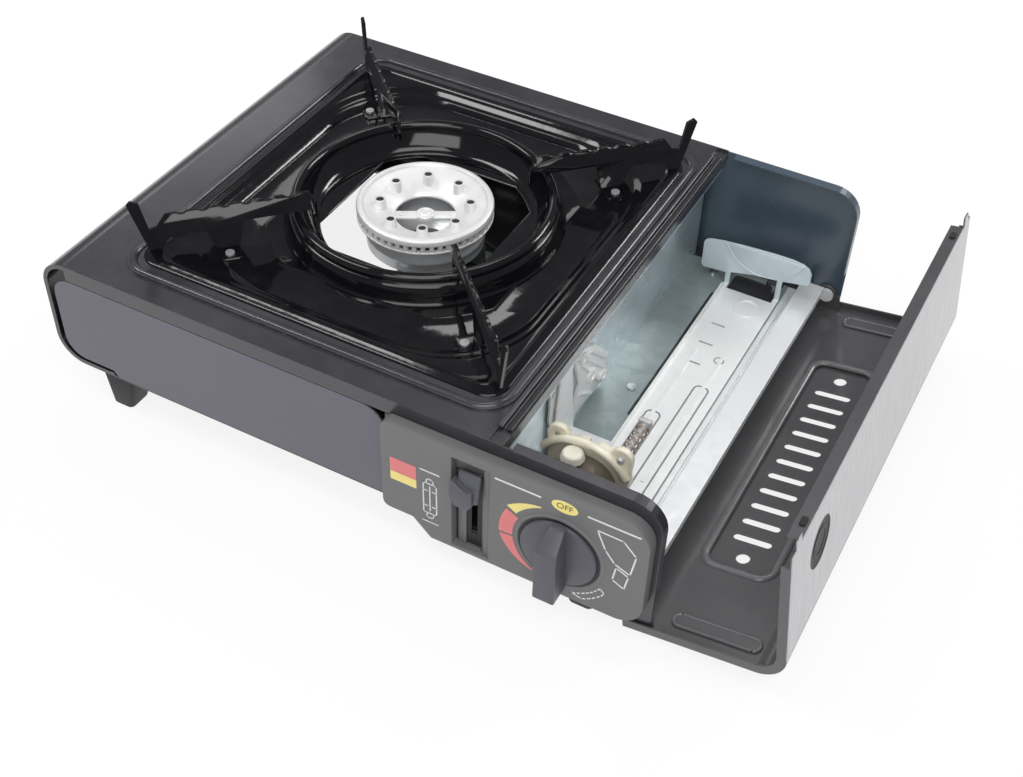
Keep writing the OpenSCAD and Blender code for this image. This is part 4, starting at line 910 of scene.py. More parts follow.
# Galvanised sheet of the tray, kept darker than the other zinc copies: painted shade for the tray floor lying
# in shade beside the partition.
ZINC = SpangleFinish("zinc_sheet_spangle", (0.38, 0.43, 0.43), (0.25, 0.3, 0.3), tone_share=0.6,
                     rough=(0.3, 0.46), metallic=0.5, bump=0.02, grain=900, edge=0.4, cells=150.0,
                     wear=(0.85, 0.87, 0.88), wear_share=0.5, rail_highlight_from=147.0)
ZINC_WALL = SpangleFinish("zinc_sheet_wall", (0.66, 0.75, 0.79), (0.46, 0.54, 0.58), tone_share=0.7,
                          rough=(0.24, 0.4), metallic=0.6, bump=0.02, grain=900, edge=0.4, cells=150.0,
                          wear=(0.85, 0.87, 0.88), wear_share=0.5)
# Darker copy of the zinc for the slider's pressed lines: painted shade, standing for the shade in the
# pressings.
ZINC_LINE_SHADE = Finish("zinc_pressed_line_shade", (0.3, 0.33, 0.33), (0.22, 0.25, 0.25), rough=(0.35, 0.5),
                   metallic=0.4, bump=0.02, wear=(0.6, 0.62, 0.62))
# Near-white copy of the galvanised sheet for the slider and the lock's bracket, arm and crank: a painted
# highlight, standing for the sheet where it catches the light.
ZINC_LIT = SpangleFinish("zinc_sheet_painted_highlight", (0.93, 0.93, 0.92), (0.8, 0.82, 0.82), tone_share=0.5,
                            rough=(0.32, 0.44), metallic=0.3, bump=0.02, grain=900, edge=0.4, cells=150.0,
                            wear=(0.95, 0.95, 0.95), wear_share=0.5)
STOP_ZINC = SpangleFinish("zinc_sheet_blue", (0.6, 0.69, 0.72), (0.5, 0.6, 0.63), tone_share=0.5,
                          rough=(0.35, 0.5), metallic=0.2, bump=0.015, grain=900, edge=0.4, cells=120.0,
                          wear=(0.85, 0.9, 0.92), wear_share=0.5)
CAST = Finish("zinc_cast_cream", (0.8, 0.76, 0.62), (0.62, 0.57, 0.43), tone_share=0.7, rough=(0.35, 0.5),
              metallic=0.1, bump=0.06, grain=1400, blotch=120, edge=0.5, wear=(0.92, 0.9, 0.8),
              wear_share=0.6)
# Dark brown copy of the cream die-cast zinc, for the regulator body: painted shade, standing for the body
# where it lies in shade under the panel.
CAST_SHADED = Finish("zinc_cast_shaded", (0.2, 0.17, 0.13), (0.12, 0.1, 0.08), tone_share=0.8,
                   rough=(0.4, 0.55), metallic=0.2, bump=0.06, grain=1400, blotch=120, edge=0.5,
                   wear=(0.65, 0.6, 0.5), wear_share=0.5)
CAP_CREAM = Finish("regulator_cap_cream", (0.8, 0.77, 0.66), (0.68, 0.64, 0.52), rough=(0.35, 0.45),
                   metallic=0.1, bump=0.03, blotch=160, edge=0.6, wear=(0.9, 0.88, 0.8))
STEEL = HairlineFinish("steel_plated", (0.62, 0.63, 0.64), (0.45, 0.46, 0.48), rough=(0.18, 0.34),
                       metallic=1.0, bump=0.008, edge=0.3, wear=(0.8, 0.8, 0.8), stretch=(0.2, 0.2, 1.0))
PIN_STEEL = Finish("pin_steel_satin", (0.55, 0.55, 0.56), (0.44, 0.44, 0.45), rough=(0.36, 0.46),
                   metallic=0.5, bump=0.01, edge=0.4, wear=(0.8, 0.8, 0.8))
BURNER = Finish("burner_cast_alloy", (0.84, 0.84, 0.835), (0.7, 0.7, 0.7), tone_share=0.7,
                rough=(0.34, 0.5), metallic=0.35, bump=0.05, grain=1600, blotch=70, edge=0.5,
                wear=(0.96, 0.96, 0.96), wear_share=0.5)
BOWL = Finish("burner_bowl_alloy", (0.72, 0.73, 0.74), (0.56, 0.57, 0.58), tone_share=0.7,
              rough=(0.26, 0.4), metallic=0.45, bump=0.03, grain=1600, blotch=70, edge=0.5,
              wear=(0.9, 0.9, 0.9), wear_share=0.5)
BRASS = Finish("brass_drawn", (0.62, 0.42, 0.18), (0.48, 0.3, 0.12), rough=(0.25, 0.4), metallic=1.0,
               bump=0.01, wear=(0.8, 0.62, 0.35))
SPRING = HairlineFinish("spring_wire", (0.46, 0.36, 0.31), (0.32, 0.24, 0.21), rough=(0.3, 0.45),
                        metallic=0.6, bump=0.008, edge=0.2, wear=(0.5, 0.35, 0.3), stretch=(1.0, 1.0, 1.0))
RUBBER = Finish("rubber_black", (0.012, 0.012, 0.012), (0.02, 0.02, 0.02), rough=(0.6, 0.8), bump=0.03,
                grain=1800, wear=(0.06, 0.06, 0.06))
FOOT = Finish("foot_moulded", (0.014, 0.014, 0.016), (0.024, 0.024, 0.026), rough=(0.45, 0.6), bump=0.05,
              grain=1500, wear=(0.09, 0.09, 0.09))
PANEL = Finish("panel_moulded_grey", (0.135, 0.134, 0.136), (0.165, 0.164, 0.166), rough=(0.46, 0.58),
               bump=0.035, grain=1900, edge=0.5, wear=(0.26, 0.26, 0.26), wear_share=0.4)
KNOB = Finish("knob_moulded_slate", (0.07, 0.07, 0.086), (0.09, 0.09, 0.108), rough=(0.34, 0.46), bump=0.02,
              grain=1900, edge=0.5, wear=(0.2, 0.2, 0.22), wear_share=0.4)
IGNITER = Finish("igniter_moulded_blue", (0.02, 0.06, 0.25), (0.03, 0.08, 0.3), rough=(0.3, 0.4), bump=0.01)
CERAMIC = Finish("ceramic_glazed", (0.85, 0.83, 0.76), (0.76, 0.73, 0.65), rough=(0.12, 0.25), coat=0.4,
                 bump=0.01)
PRINT_WHITE = Finish("print_white", (0.7, 0.7, 0.7), (0.58, 0.58, 0.58), rough=(0.5, 0.6), bump=0.01,
                     edge=0.05, wear=(0.5, 0.5, 0.5))
PRINT_RED = Finish("print_red", (0.7, 0.2, 0.2), (0.62, 0.17, 0.17), rough=(0.45, 0.55), bump=0.01,
                   edge=0.05, wear=(0.6, 0.3, 0.3))
PRINT_YELLOW = Finish("print_yellow", (0.82, 0.7, 0.24), (0.74, 0.62, 0.19), rough=(0.45, 0.55), bump=0.01,
                      edge=0.05, wear=(0.5, 0.4, 0.2))
PRINT_DARK = Finish("print_dark", (0.12, 0.1, 0.02), (0.09, 0.07, 0.02), rough=(0.5, 0.6), bump=0.01,
                    edge=0.05)
# Near-black finish of pieces that stand for the shade in gaps, slots, holes and the finger recess: painted
# shade.
SHADE = Finish("painted_shade_black", (0.012, 0.012, 0.014), (0.018, 0.018, 0.02), rough=(0.5, 0.6), bump=0.02,
               wear_share=0.0)


# ---- Sub-assemblies


@dataclass
class CaseShell:
    """The folded case with its end panels and feet.

    Attributes:
        shop: The workshop.
        painted: Nodes in the case's paint.
        feet: Nodes of the feet.
        foot_edge: Rounding of the feet's edges.
        deck: Height of the deck.
        pan_x: Middle of the drip pan.
        bead: Width and length of the bead round the pan, and the radius of its corners.
        bead_section: Half of the bead's width, and its height.
        bead_sunk: How far the bead starts below the deck's face.
        folds: X, radius and flatness of the folds along the deck's right edge.
        fold_half: Half of the folds' length.
        gap_shade_x: Left and right side of the black strip between the folds, a painted shade for the gap
            there.
        gap_shade_z: Its lower and upper face, from the deck.
    """

    shop: Workshop
    painted: tuple[str, ...] = ("outer_case", "front_bulkhead")
    feet: tuple[str, ...] = ("foot_1", "foot_2", "foot_3", "foot_4")
    foot_edge: float = 0.8
    deck: float = 89.0
    pan_x: float = -25.6
    bead: Point = (218.8, 236.9, 15.2)
    bead_section: Flat = (2.35, 2.0)
    bead_sunk: float = 0.05
    folds: tuple[Point, ...] = ((88.4, 1.5, 0.5), (91.0, 0.5, 1.0), (94.2, 0.6, 1.2))
    fold_half: float = 124.5
    gap_shade_x: Flat = (91.9, 93.4)
    gap_shade_z: Flat = (-0.5, 0.06)

    def build(self) -> None:
        """Dresses the shell, moulds its feet and adds the bead and the folds of its deck."""
        self.shop.dress(self.painted, CASE_PAINT)
        self.shop.dress(("rear_panel",), REAR_PAINT)
        self.shop.dress(("front_panel",), FRONT_PAINT)
        self.shop.dress(("foot_screws", "panel_screws", "case_rivets"), STEEL)
        self.shop.dress(("hinge_pins",), BURNER)
        for foot in self.feet:
            self.shop.softened(foot, foot + "_moulding", FOOT, "case", Slot.FOOT, self.foot_edge)
        self.deck_bead()
        self.deck_folds()
        self.deck_gap_shade()

    def deck_bead(self) -> None:
        """Makes the rounded bead pressed into the deck round the pan."""
        w, l, r = self.bead
        bm = bmesh.new()
        loops = []
        for off, rise in half_round(*self.bead_section):
            z = self.deck - self.bead_sunk + rise
            loops.append([(self.pan_x + x, y, z) for x, y in rounded_loop(w + 2 * off, l + 2 * off, r + off)])
        lofted(bm, loops, closed=True)
        self.shop.piece("deck_bead", bm, CASE_PAINT, "case", Slot.CASE, smooth=60.0)

    def deck_folds(self) -> None:
        """Makes the folds along the deck's right edge, over the bay."""
        bm = bmesh.new()
        for x, r, flat in self.folds:
            swept(bm, [(x, -self.fold_half, self.deck), (x, self.fold_half, self.deck)], r, 12, flat)
        self.shop.piece("deck_folds", bm, CASE_PAINT, "case", Slot.CASE, smooth=60.0)

    def deck_gap_shade(self) -> None:
        """Makes a black strip between the folds that stands for the shade in the gap there (painted shade).
        """
        bm = bmesh.new()
        verts = block(bm, (self.gap_shade_x[0], -self.fold_half, self.deck + self.gap_shade_z[0]),
                      (self.gap_shade_x[1], self.fold_half, self.deck + self.gap_shade_z[1]))
        rounded_edges(bm, verts, 0.02, 1)
        self.shop.piece("deck_gap_shade", bm, SHADE, "case", Slot.CASE)


@dataclass
class CartridgeBay:
    """The galvanised bay: partition, tray, slider and stop.

    Attributes:
        shop: The workshop.
        slider_x: Middle of the slider.
        slider_top: Height of the slider's top face.
        loops: Left, right, front and back of the slider's pressed loops, with X from the slider's middle.
        loop_r: Radius of their corners.
        line: Radius of a pressed line, and its flatness.
        dash_x: Start and end of the short lines, from the slider's middle.
        dash_y: Where the short lines stand.
        stamp: X of the round stamp from the slider's middle, its Y and its radius.
        stop_y: Front face of the stop.
        stop_t: Thickness of the stop's sheet.
        stop_top: The stop's upper outline, in X and Z.
        legs: Inner and outer side of the stop's legs, and the sheet's height at each.
        leg_depth: How far the legs reach below the slider's top face.
        dish: X and Z of the middle of the stop's dish, and its radius.
        dish_span: First and last angle of the dish's rim, in degrees.
        dish_top: Height at which the dish runs out.
        bracket_x: X of the face that the lock's bracket stands on.
        bracket_t: Thickness of the bracket.
        bracket: The bracket's outline, in Y and Z.
        ribs: Start and end of its ribs, in Y and Z.
        bosses: Y, Z and radius of its bosses.
    """

    shop: Workshop
    slider_x: float = 129.5
    slider_top: float = 19.12
    loops: tuple[Box, ...] = ((-11.5, -3.5, -74.0, -12.0), (3.5, 11.5, -70.0, 18.0))
    loop_r: float = 3.0
    line: Flat = (0.5, 0.7)
    dash_x: Flat = (-9.0, -1.0)
    dash_y: Point = (34.0, 52.0, 70.0)
    stamp: Point = (7.0, 42.0, 2.6)
    stop_y: float = 107.98
    stop_t: float = 1.2
    stop_top: Outline = ((96.9, 42.6), (98.0, 44.6), (100.4, 45.9), (108.6, 47.4), (118.6, 48.4),
                         (129.5, 49.2), (140.0, 49.8), (150.0, 49.9), (156.6, 49.1), (160.4, 47.2),
                         (162.2, 44.0), (162.4, 37.6), (160.8, 35.4))
    legs: tuple[Box, ...] = ((143.4, 146.6, 32.2, 32.6), (112.4, 115.6, 26.0, 27.2))
    leg_depth: float = 1.1
    dish: Point = (134.0, 57.6, 25.4)
    dish_span: Flat = (198.0, 338.0)
    dish_top: float = 48.6
    bracket_x: float = 85.9
    bracket_t: float = 2.2
    bracket: Outline = ((-42.0, 24.0), (-12.0, 21.0), (-1.0, 24.0), (-2.0, 38.0), (-10.0, 48.0),
                        (-20.0, 58.0), (-34.0, 66.0), (-41.0, 69.0), (-43.0, 62.0), (-40.0, 52.0),
                        (-36.0, 42.0), (-42.0, 32.0))
    ribs: tuple[Outline, ...] = (((-40.0, 65.0), (-5.0, 30.0)), ((-37.0, 57.0), (-12.0, 26.0)),
                                 ((-36.0, 36.0), (-22.0, 25.0)), ((-26.0, 58.0), (-6.0, 38.0)))
    bosses: tuple[Point, ...] = ((-24.0, 40.0, 4.6), (-37.0, 62.0, 3.4), (-9.0, 28.0, 3.6))

    def build(self) -> None:
        """Dresses the bay, presses the slider's lines and the stop, and casts the lock's bracket."""
        self.shop.dress(("cartridge_tray",), ZINC)
        self.shop.dress(("partition",), ZINC_WALL)
        self.shop.dress(("slider_rail",), ZINC_LIT)
        self.slider_lines()
        self.stop_plate()
        self.lock_bracket()

    def slider_lines(self) -> None:
        """Presses two long loops, three short lines and a round stamp into the slider, in darker zinc that
        stands for the shade in the pressings (painted shade).
        """
        middle, z, r = self.slider_x, self.slider_top, self.loop_r
        wire, flat = self.line
        bm = bmesh.new()
        for left, right, front, back in self.loops:
            x0, x1 = middle + left, middle + right
            path = [(x0, front), (x0, back - r), *arc_points(x0 + r, back - r, r, 180, 90, 5),
                    *arc_points(x1 - r, back - r, r, 90, 0, 5), (x1, front)]
            swept(bm, [(x, y, z) for x, y in path], wire, flat=flat)
        for y in self.dash_y:
            swept(bm, [(middle + x, y, z) for x in self.dash_x], wire, flat=flat)
        stamp_x, stamp_y, stamp_r = self.stamp
        stamp = arc_points(middle + stamp_x, stamp_y, stamp_r, 0, 360, 24)
        swept(bm, [(x, y, z) for x, y in stamp], 0.35, 6)
        self.shop.piece("slider_pressing", bm, ZINC_LINE_SHADE, "slider", Slot.ZINC)

    def leg(self, inner: float, outer: float, inner_z: float, outer_z: float) -> list[Flat]:
        """Outline of one of the stop's legs, from its outer side round to its inner side.

        Args:
            inner: X of its inner side.
            outer: X of its outer side.
            inner_z: Height of the sheet's lower edge at the inner side.
            outer_z: Height of the sheet's lower edge at the outer side.

        Returns:
            The four points, in X and Z.
        """
        low = self.slider_top - self.leg_depth
        return [(outer, outer_z), (outer, low), (inner, low), (inner, inner_z)]

    def stop_plate(self) -> None:
        """Presses the stop: a plate with an arched top on two legs, and a round dish with a raised rim."""
        y = self.stop_y
        bm = bmesh.new()
        under = [(148.6, 33.2), *self.leg(*self.legs[0]), (128.6, 30.4), *self.leg(*self.legs[1]),
                 (98.6, 25.0), (97.0, 26.6)]
        verts = plate(bm, [*self.stop_top, *under], y + self.stop_t, self.stop_t)
        rounded_edges(bm, verts, 0.3)
        rim = [(x, z) for x, z in arc_points(*self.dish, *self.dish_span, 32) if z < self.dish_top]
        rounded_edges(bm, plate(bm, rim, y + 0.1, 0.6), 0.28)
        swept(bm, [(x, y - 0.45, z) for x, z in rim], 0.5, flat=0.8)
        self.shop.piece("stop_plate", bm, STOP_ZINC, "slider", Slot.ZINC, ("cartridge_stop",))

    def lock_bracket(self) -> None:
        """Casts the ribbed bracket of the lock on the partition."""
        face = self.bracket_x + self.bracket_t
        bm = bmesh.new()
        verts = extruded(bm, [(self.bracket_x, y, z) for y, z in self.bracket], (self.bracket_t, 0.0, 0.0))
        rounded_edges(bm, verts, 0.8, angle=40.0)
        for start, end in self.ribs:
            swept(bm, [(face, *start), (face, *end)], 1.2, 10)
        for y, z, r in self.bosses:
            profile = [(0.0, -1.0), (r, -1.0), (r, 1.6), (r - 0.6, 2.1), (r * 0.5, 2.1), (r * 0.4, 1.2),
                       (0.0, 1.2)]
            spun(bm, profile, (face, y, z), RIGHT, 32)
        self.shop.piece("lock_bracket", bm, ZINC_LIT, "case", Slot.CAST)


@dataclass
class Regulator:
    """The regulator, the cartridge guide, the ejector and the igniter.

    Attributes:
        shop: The workshop.
        cast_edge: Rounding of the castings' edges.
        spring_axis: X and Z of the ejector's spring.
        spring_y: Where the spring starts and ends.
        coil: Radius of the coil and of its wire.
        turns: Turns of the coil.
        turn_steps: Segments of one turn.
        squashed: Share of its length that the spring keeps with the pin pushed in. Not used.
        cap: Middle of the round cover's underside.
        cap_profile: Radius and height of each point of the cover.
        pin_y: Y that the pin's profile is measured from.
        pin_profile: Radius of each point of the pin, and its distance behind pin_y.
        pin_block: Lowest and highest X, Y and Z of the block behind the spring, with X and Z from its axis.
        arch: X, Z and radius of the guide's arch.
        arch_y: Y of the arch.
        arch_span: First and last angle of the arch, in degrees.
        arch_r: Radius of the arch's round section.
    """

    shop: Workshop
    cast_edge: float = 0.6
    spring_axis: Flat = (140.8, 75.7)
    spring_y: Flat = (-100.98, -78.42)
    coil: Flat = (3.0, 0.55)
    turns: float = 5.0
    turn_steps: int = 28
    squashed: float = 0.6
    cap: Point = (119.5, -110.98, 72.5)
    cap_profile: Outline = ((0.0, 0.0), (6.0, 0.0), (5.4, 0.8), (5.3, 2.4), (4.9, 3.3), (4.2, 3.8),
                            (3.2, 4.0), (2.2, 3.8), (1.2, 3.6), (0.0, 3.55))
    pin_y: float = -101.0
    pin_profile: Outline = ((0.0, -5.2), (1.2, -5.0), (1.8, -4.3), (1.9, -3.4), (1.9, 24.4), (0.0, 24.4))
    pin_block: tuple[Point, Point] = ((-3.4, -79.2, -3.2), (3.4, -76.4, 3.4))
    arch: Point = (123.0, 54.0, 24.5)
    arch_y: float = -105.2
    arch_span: Flat = (28.0, 150.0)
    arch_r: float = 2.1

    def build(self) -> None:
        """Dresses the regulator and its neighbours, and makes the spring, the cover, the arch and the pin."""
        self.shop.softened("cartridge_guide", "guide_casting", CAST, "case", Slot.CAST, self.cast_edge)
        self.shop.softened("regulator_body", "regulator_casting", CAST_SHADED, "case", Slot.CAST,
                           self.cast_edge)
        self.shop.dress(("inlet_nozzle",), CAST)
        self.shop.dress(("regulator_screws", "electrode_wire", "lever_shaft"), STEEL)
        self.shop.dress(("socket_seal", "igniter_lead"), RUBBER)
        self.shop.dress(("piezo_igniter",), IGNITER)
        self.shop.dress(("electrode_ceramic",), CERAMIC)
        self.shop.dress(("electrode_clip", "burner_bracket"), ZINC)
        self.shop.dress(("gas_pipe", "gas_jet", "valve_spindle"), BRASS)
        self.spring()
        self.cover()
        self.guide_arch()
        self.pin()

    def spring(self) -> None:
        """Winds the spring as one helical wire."""
        x, z = self.spring_axis
        y0, y1 = self.spring_y
        r, wire = self.coil
        bm = bmesh.new()
        bmesh.ops.create_circle(bm, cap_ends=False, radius=wire, segments=12,
                                matrix=Matrix.Translation((x + r, y0 + wire, z)))
        steps = int(self.turns * self.turn_steps)
        rise = (y1 - y0 - 2 * wire) / steps
        bmesh.ops.spin(bm, geom=bm.verts[:] + bm.edges[:], cent=(x, y0, z), axis=(0.0, -1.0, 0.0),
                       dvec=(0.0, rise, 0.0), angle=math.tau * self.turns, steps=steps, use_merge=False)
        bmesh.ops.holes_fill(bm, edges=[e for e in bm.edges if e.is_boundary], sides=0)
        made = self.shop.piece("ejector_spring", bm, SPRING, "case", Slot.STEEL, ("push_spring",), 80.0)
        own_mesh(made)

    def cover(self) -> None:
        """Turns the round cover with a shallow ring in its top."""
        bm = bmesh.new()
        spun(bm, self.cap_profile, self.cap, UP, 48)
        self.shop.piece("regulator_cap", bm, CAP_CREAM, "case", Slot.CAST, ("regulator_cover",))

    def pin(self) -> None:
        """Turns the ejector's pin, with a domed tip in the guide's ear and a block behind the spring."""
        x, z = self.spring_axis
        bm = bmesh.new()
        spun(bm, self.pin_profile, (x, self.pin_y, z), BACK, 32)
        low, high = [(x + dx, y, z + dz) for dx, y, dz in self.pin_block]
        rounded_edges(bm, block(bm, low, high), 0.7, 3)
        self.shop.piece("ejector_pin", bm, PIN_STEEL, "ejector", Slot.STEEL, ("push_rod",))

    def guide_arch(self) -> None:
        """Adds the rounded arch of the guide over the regulator."""
        bm = bmesh.new()
        path = [(x, self.arch_y, z) for x, z in arc_points(*self.arch, *self.arch_span, 30)]
        swept(bm, path, self.arch_r, 12)
        self.shop.piece("guide_arch", bm, CAST, "case", Slot.CAST, smooth=60.0)


@dataclass
class Burner:
    """The burner with its cap. Heights of its profiles are measured from the top of the cap.

    Attributes:
        shop: The workshop.
        centre: Middle of the top of the cap.
        ports: Number of raised ports.
        port_r: Distance of the ports from the middle.
        first: Angle of the first port, in degrees.
        slots: Number of flame slots in the rim.
        bridge: Direction of the bridge, in degrees.
        bridge_box: Half of the bridge's length and width, and its lower and upper face.
        rivet_r: Distance of the bridge's rivets from the middle.
        tooth_r: Inner and outer radius of the teeth between the flame slots.
        tooth_top: Top of the teeth.
        tooth_h: Height of the teeth.
        tooth_share: Start and end of a tooth, as shares of the way from one slot to the next.
        cap_profile: The dish and its rim.
        hub_profile: The hub on the bridge.
        port_profile: One upright port with its hole.
        port_shade: A black plug inside a port, a painted shade for its dark inside.
        slot_shade: A black ring inside the flame slots, a painted shade for their dark inside.
        wall_profile: The burner's straight outer wall under the cap.
    """

    shop: Workshop
    centre: Point = (-25.6, 0.0, 95.0)
    ports: int = 8
    port_r: float = 24.2
    first: float = 27.0
    slots: int = 50
    bridge: float = 30.0
    bridge_box: Box = (17.0, 3.2, -11.2, -9.6)
    rivet_r: float = 12.6
    tooth_r: Flat = (34.0, 36.6)
    tooth_top: float = -3.7
    tooth_h: float = 4.0
    tooth_share: Flat = (0.24, 0.76)
    cap_profile: Outline = ((16.4, -10.4), (17.0, -10.6), (17.8, -10.3), (31.0, -4.2), (31.4, -4.6),
                            (31.4, -8.9), (36.2, -8.9), (36.9, -8.5), (36.9, -7.7), (36.2, -7.5),
                            (33.0, -7.4), (33.0, -3.8), (36.8, -3.8), (37.0, -3.5), (37.0, -1.9),
                            (36.6, -0.9), (35.7, -0.25), (34.6, 0.0), (33.7, -0.2), (33.1, -0.9),
                            (32.8, -1.5), (31.6, -1.5), (18.4, -8.1), (17.2, -8.8), (16.5, -9.5),
                            (16.4, -10.4))
    hub_profile: Outline = ((0.0, -11.4), (5.2, -11.4), (5.2, -9.0), (4.8, -8.6), (4.1, -8.6), (3.7, -9.0),
                            (0.0, -9.1))
    port_profile: Outline = ((0.0, -9.4), (2.1, -9.2), (2.1, -0.4), (2.25, -0.15), (2.6, -0.15),
                             (2.9, -0.5), (3.0, -2.0), (3.4, -8.0), (0.0, -9.4))
    port_shade: Outline = ((0.0, -4.0), (2.15, -4.0), (2.15, -0.75), (1.6, -0.9), (0.0, -1.0))
    slot_shade: Outline = ((33.1, -7.3), (34.4, -7.3), (34.4, -3.9), (33.1, -3.9), (33.1, -7.3))
    wall_profile: Outline = ((31.05, -8.9), (31.9, -8.9), (32.3, -9.6), (32.3, -17.0), (32.7, -17.6),
                             (32.7, -19.0), (32.3, -19.6), (32.2, -24.6), (31.7, -25.2), (31.05, -25.2),
                             (31.05, -8.9))

    def build(self) -> None:
        """Dresses the bowl, casts the cap and adds the wall under it."""
        self.shop.dress(("burner_bowl", "mixing_tube"), BOWL)
        self.cap()
        self.cap_screws()
        self.shades()
        self.body_wall()

    def around(self, r: float, degrees: float) -> Point:
        """The point of the cap's top plane at a radius and an angle."""
        x, y, z = self.centre
        a = math.radians(degrees)
        return (x + r * math.cos(a), y + r * math.sin(a), z)

    def port_places(self) -> list[Point]:
        """The middles of the ports, in the cap's top plane."""
        return [self.around(self.port_r, self.first + 360 / self.ports * i) for i in range(self.ports)]

    def shades(self) -> None:
        """Makes black pieces inside the ports and the flame slots, a painted shade for their dark insides."""
        bm = bmesh.new()
        spun(bm, self.slot_shade, self.centre, UP, 96)
        for place in self.port_places():
            spun(bm, self.port_shade, place, UP, 24)
        self.shop.piece("burner_shades", bm, SHADE, "case", Slot.BURNER)

    def body_wall(self) -> None:
        """Turns the burner's straight outer wall, under the cap."""
        bm = bmesh.new()
        spun(bm, self.wall_profile, self.centre, UP, 96)
        self.shop.piece("burner_body_wall", bm, BOWL, "case", Slot.BURNER)

    def cap(self) -> None:
        """Casts the cap: a dish with raised ports, and a bridge and hub across its opening."""
        x, y, z = self.centre
        bm = bmesh.new()
        spun(bm, self.cap_profile, self.centre, UP, 144)
        for place in self.port_places():
            spun(bm, self.port_profile, place, UP, 32)
        half_l, half_w, low, high = self.bridge_box
        verts = block(bm, (x - half_l, y - half_w, z + low), (x + half_l, y + half_w, z + high))
        turned(bm, verts, self.centre, self.bridge, "Z")
        rounded_edges(bm, verts, 0.5)
        spun(bm, self.hub_profile, self.centre, UP, 48)
        self.rim_teeth(bm)
        self.shop.piece("burner_cap_casting", bm, BURNER, "case", Slot.BURNER, ("burner_cap",), 32.0)

    def rim_teeth(self, bm: Shape) -> None:
        """Adds the teeth between the flame slots.

        Args:
            bm: The cap's bmesh.
        """
        x, y, z = self.centre
        inner, outer = self.tooth_r
        for i in range(self.slots):
            a0, a1 = (math.tau / self.slots * (i + share) for share in self.tooth_share)
            outline = [(x + r * math.cos(a), y + r * math.sin(a), z + self.tooth_top)
                       for r, a in ((inner, a0), (outer, a0), (outer, a1), (inner, a1))]
            extruded(bm, outline, (0.0, 0.0, -self.tooth_h))

    def cap_screws(self) -> None:
        """Adds the screw in the hub and the two rivets of the bridge."""
        x, y, z = self.centre
        bm = bmesh.new()
        screw_head(bm, (x, y, z - 9.15), 3.2, 1.0)
        for side in (0.0, 180.0):
            at_x, at_y, top = self.around(self.rivet_r, self.bridge + side)
            screw_head(bm, (at_x, at_y, top - 9.65), 1.6, 0.7)
        self.shop.piece("burner_screw_heads", bm, BURNER, "case", Slot.STEEL, ("burner_screws",))


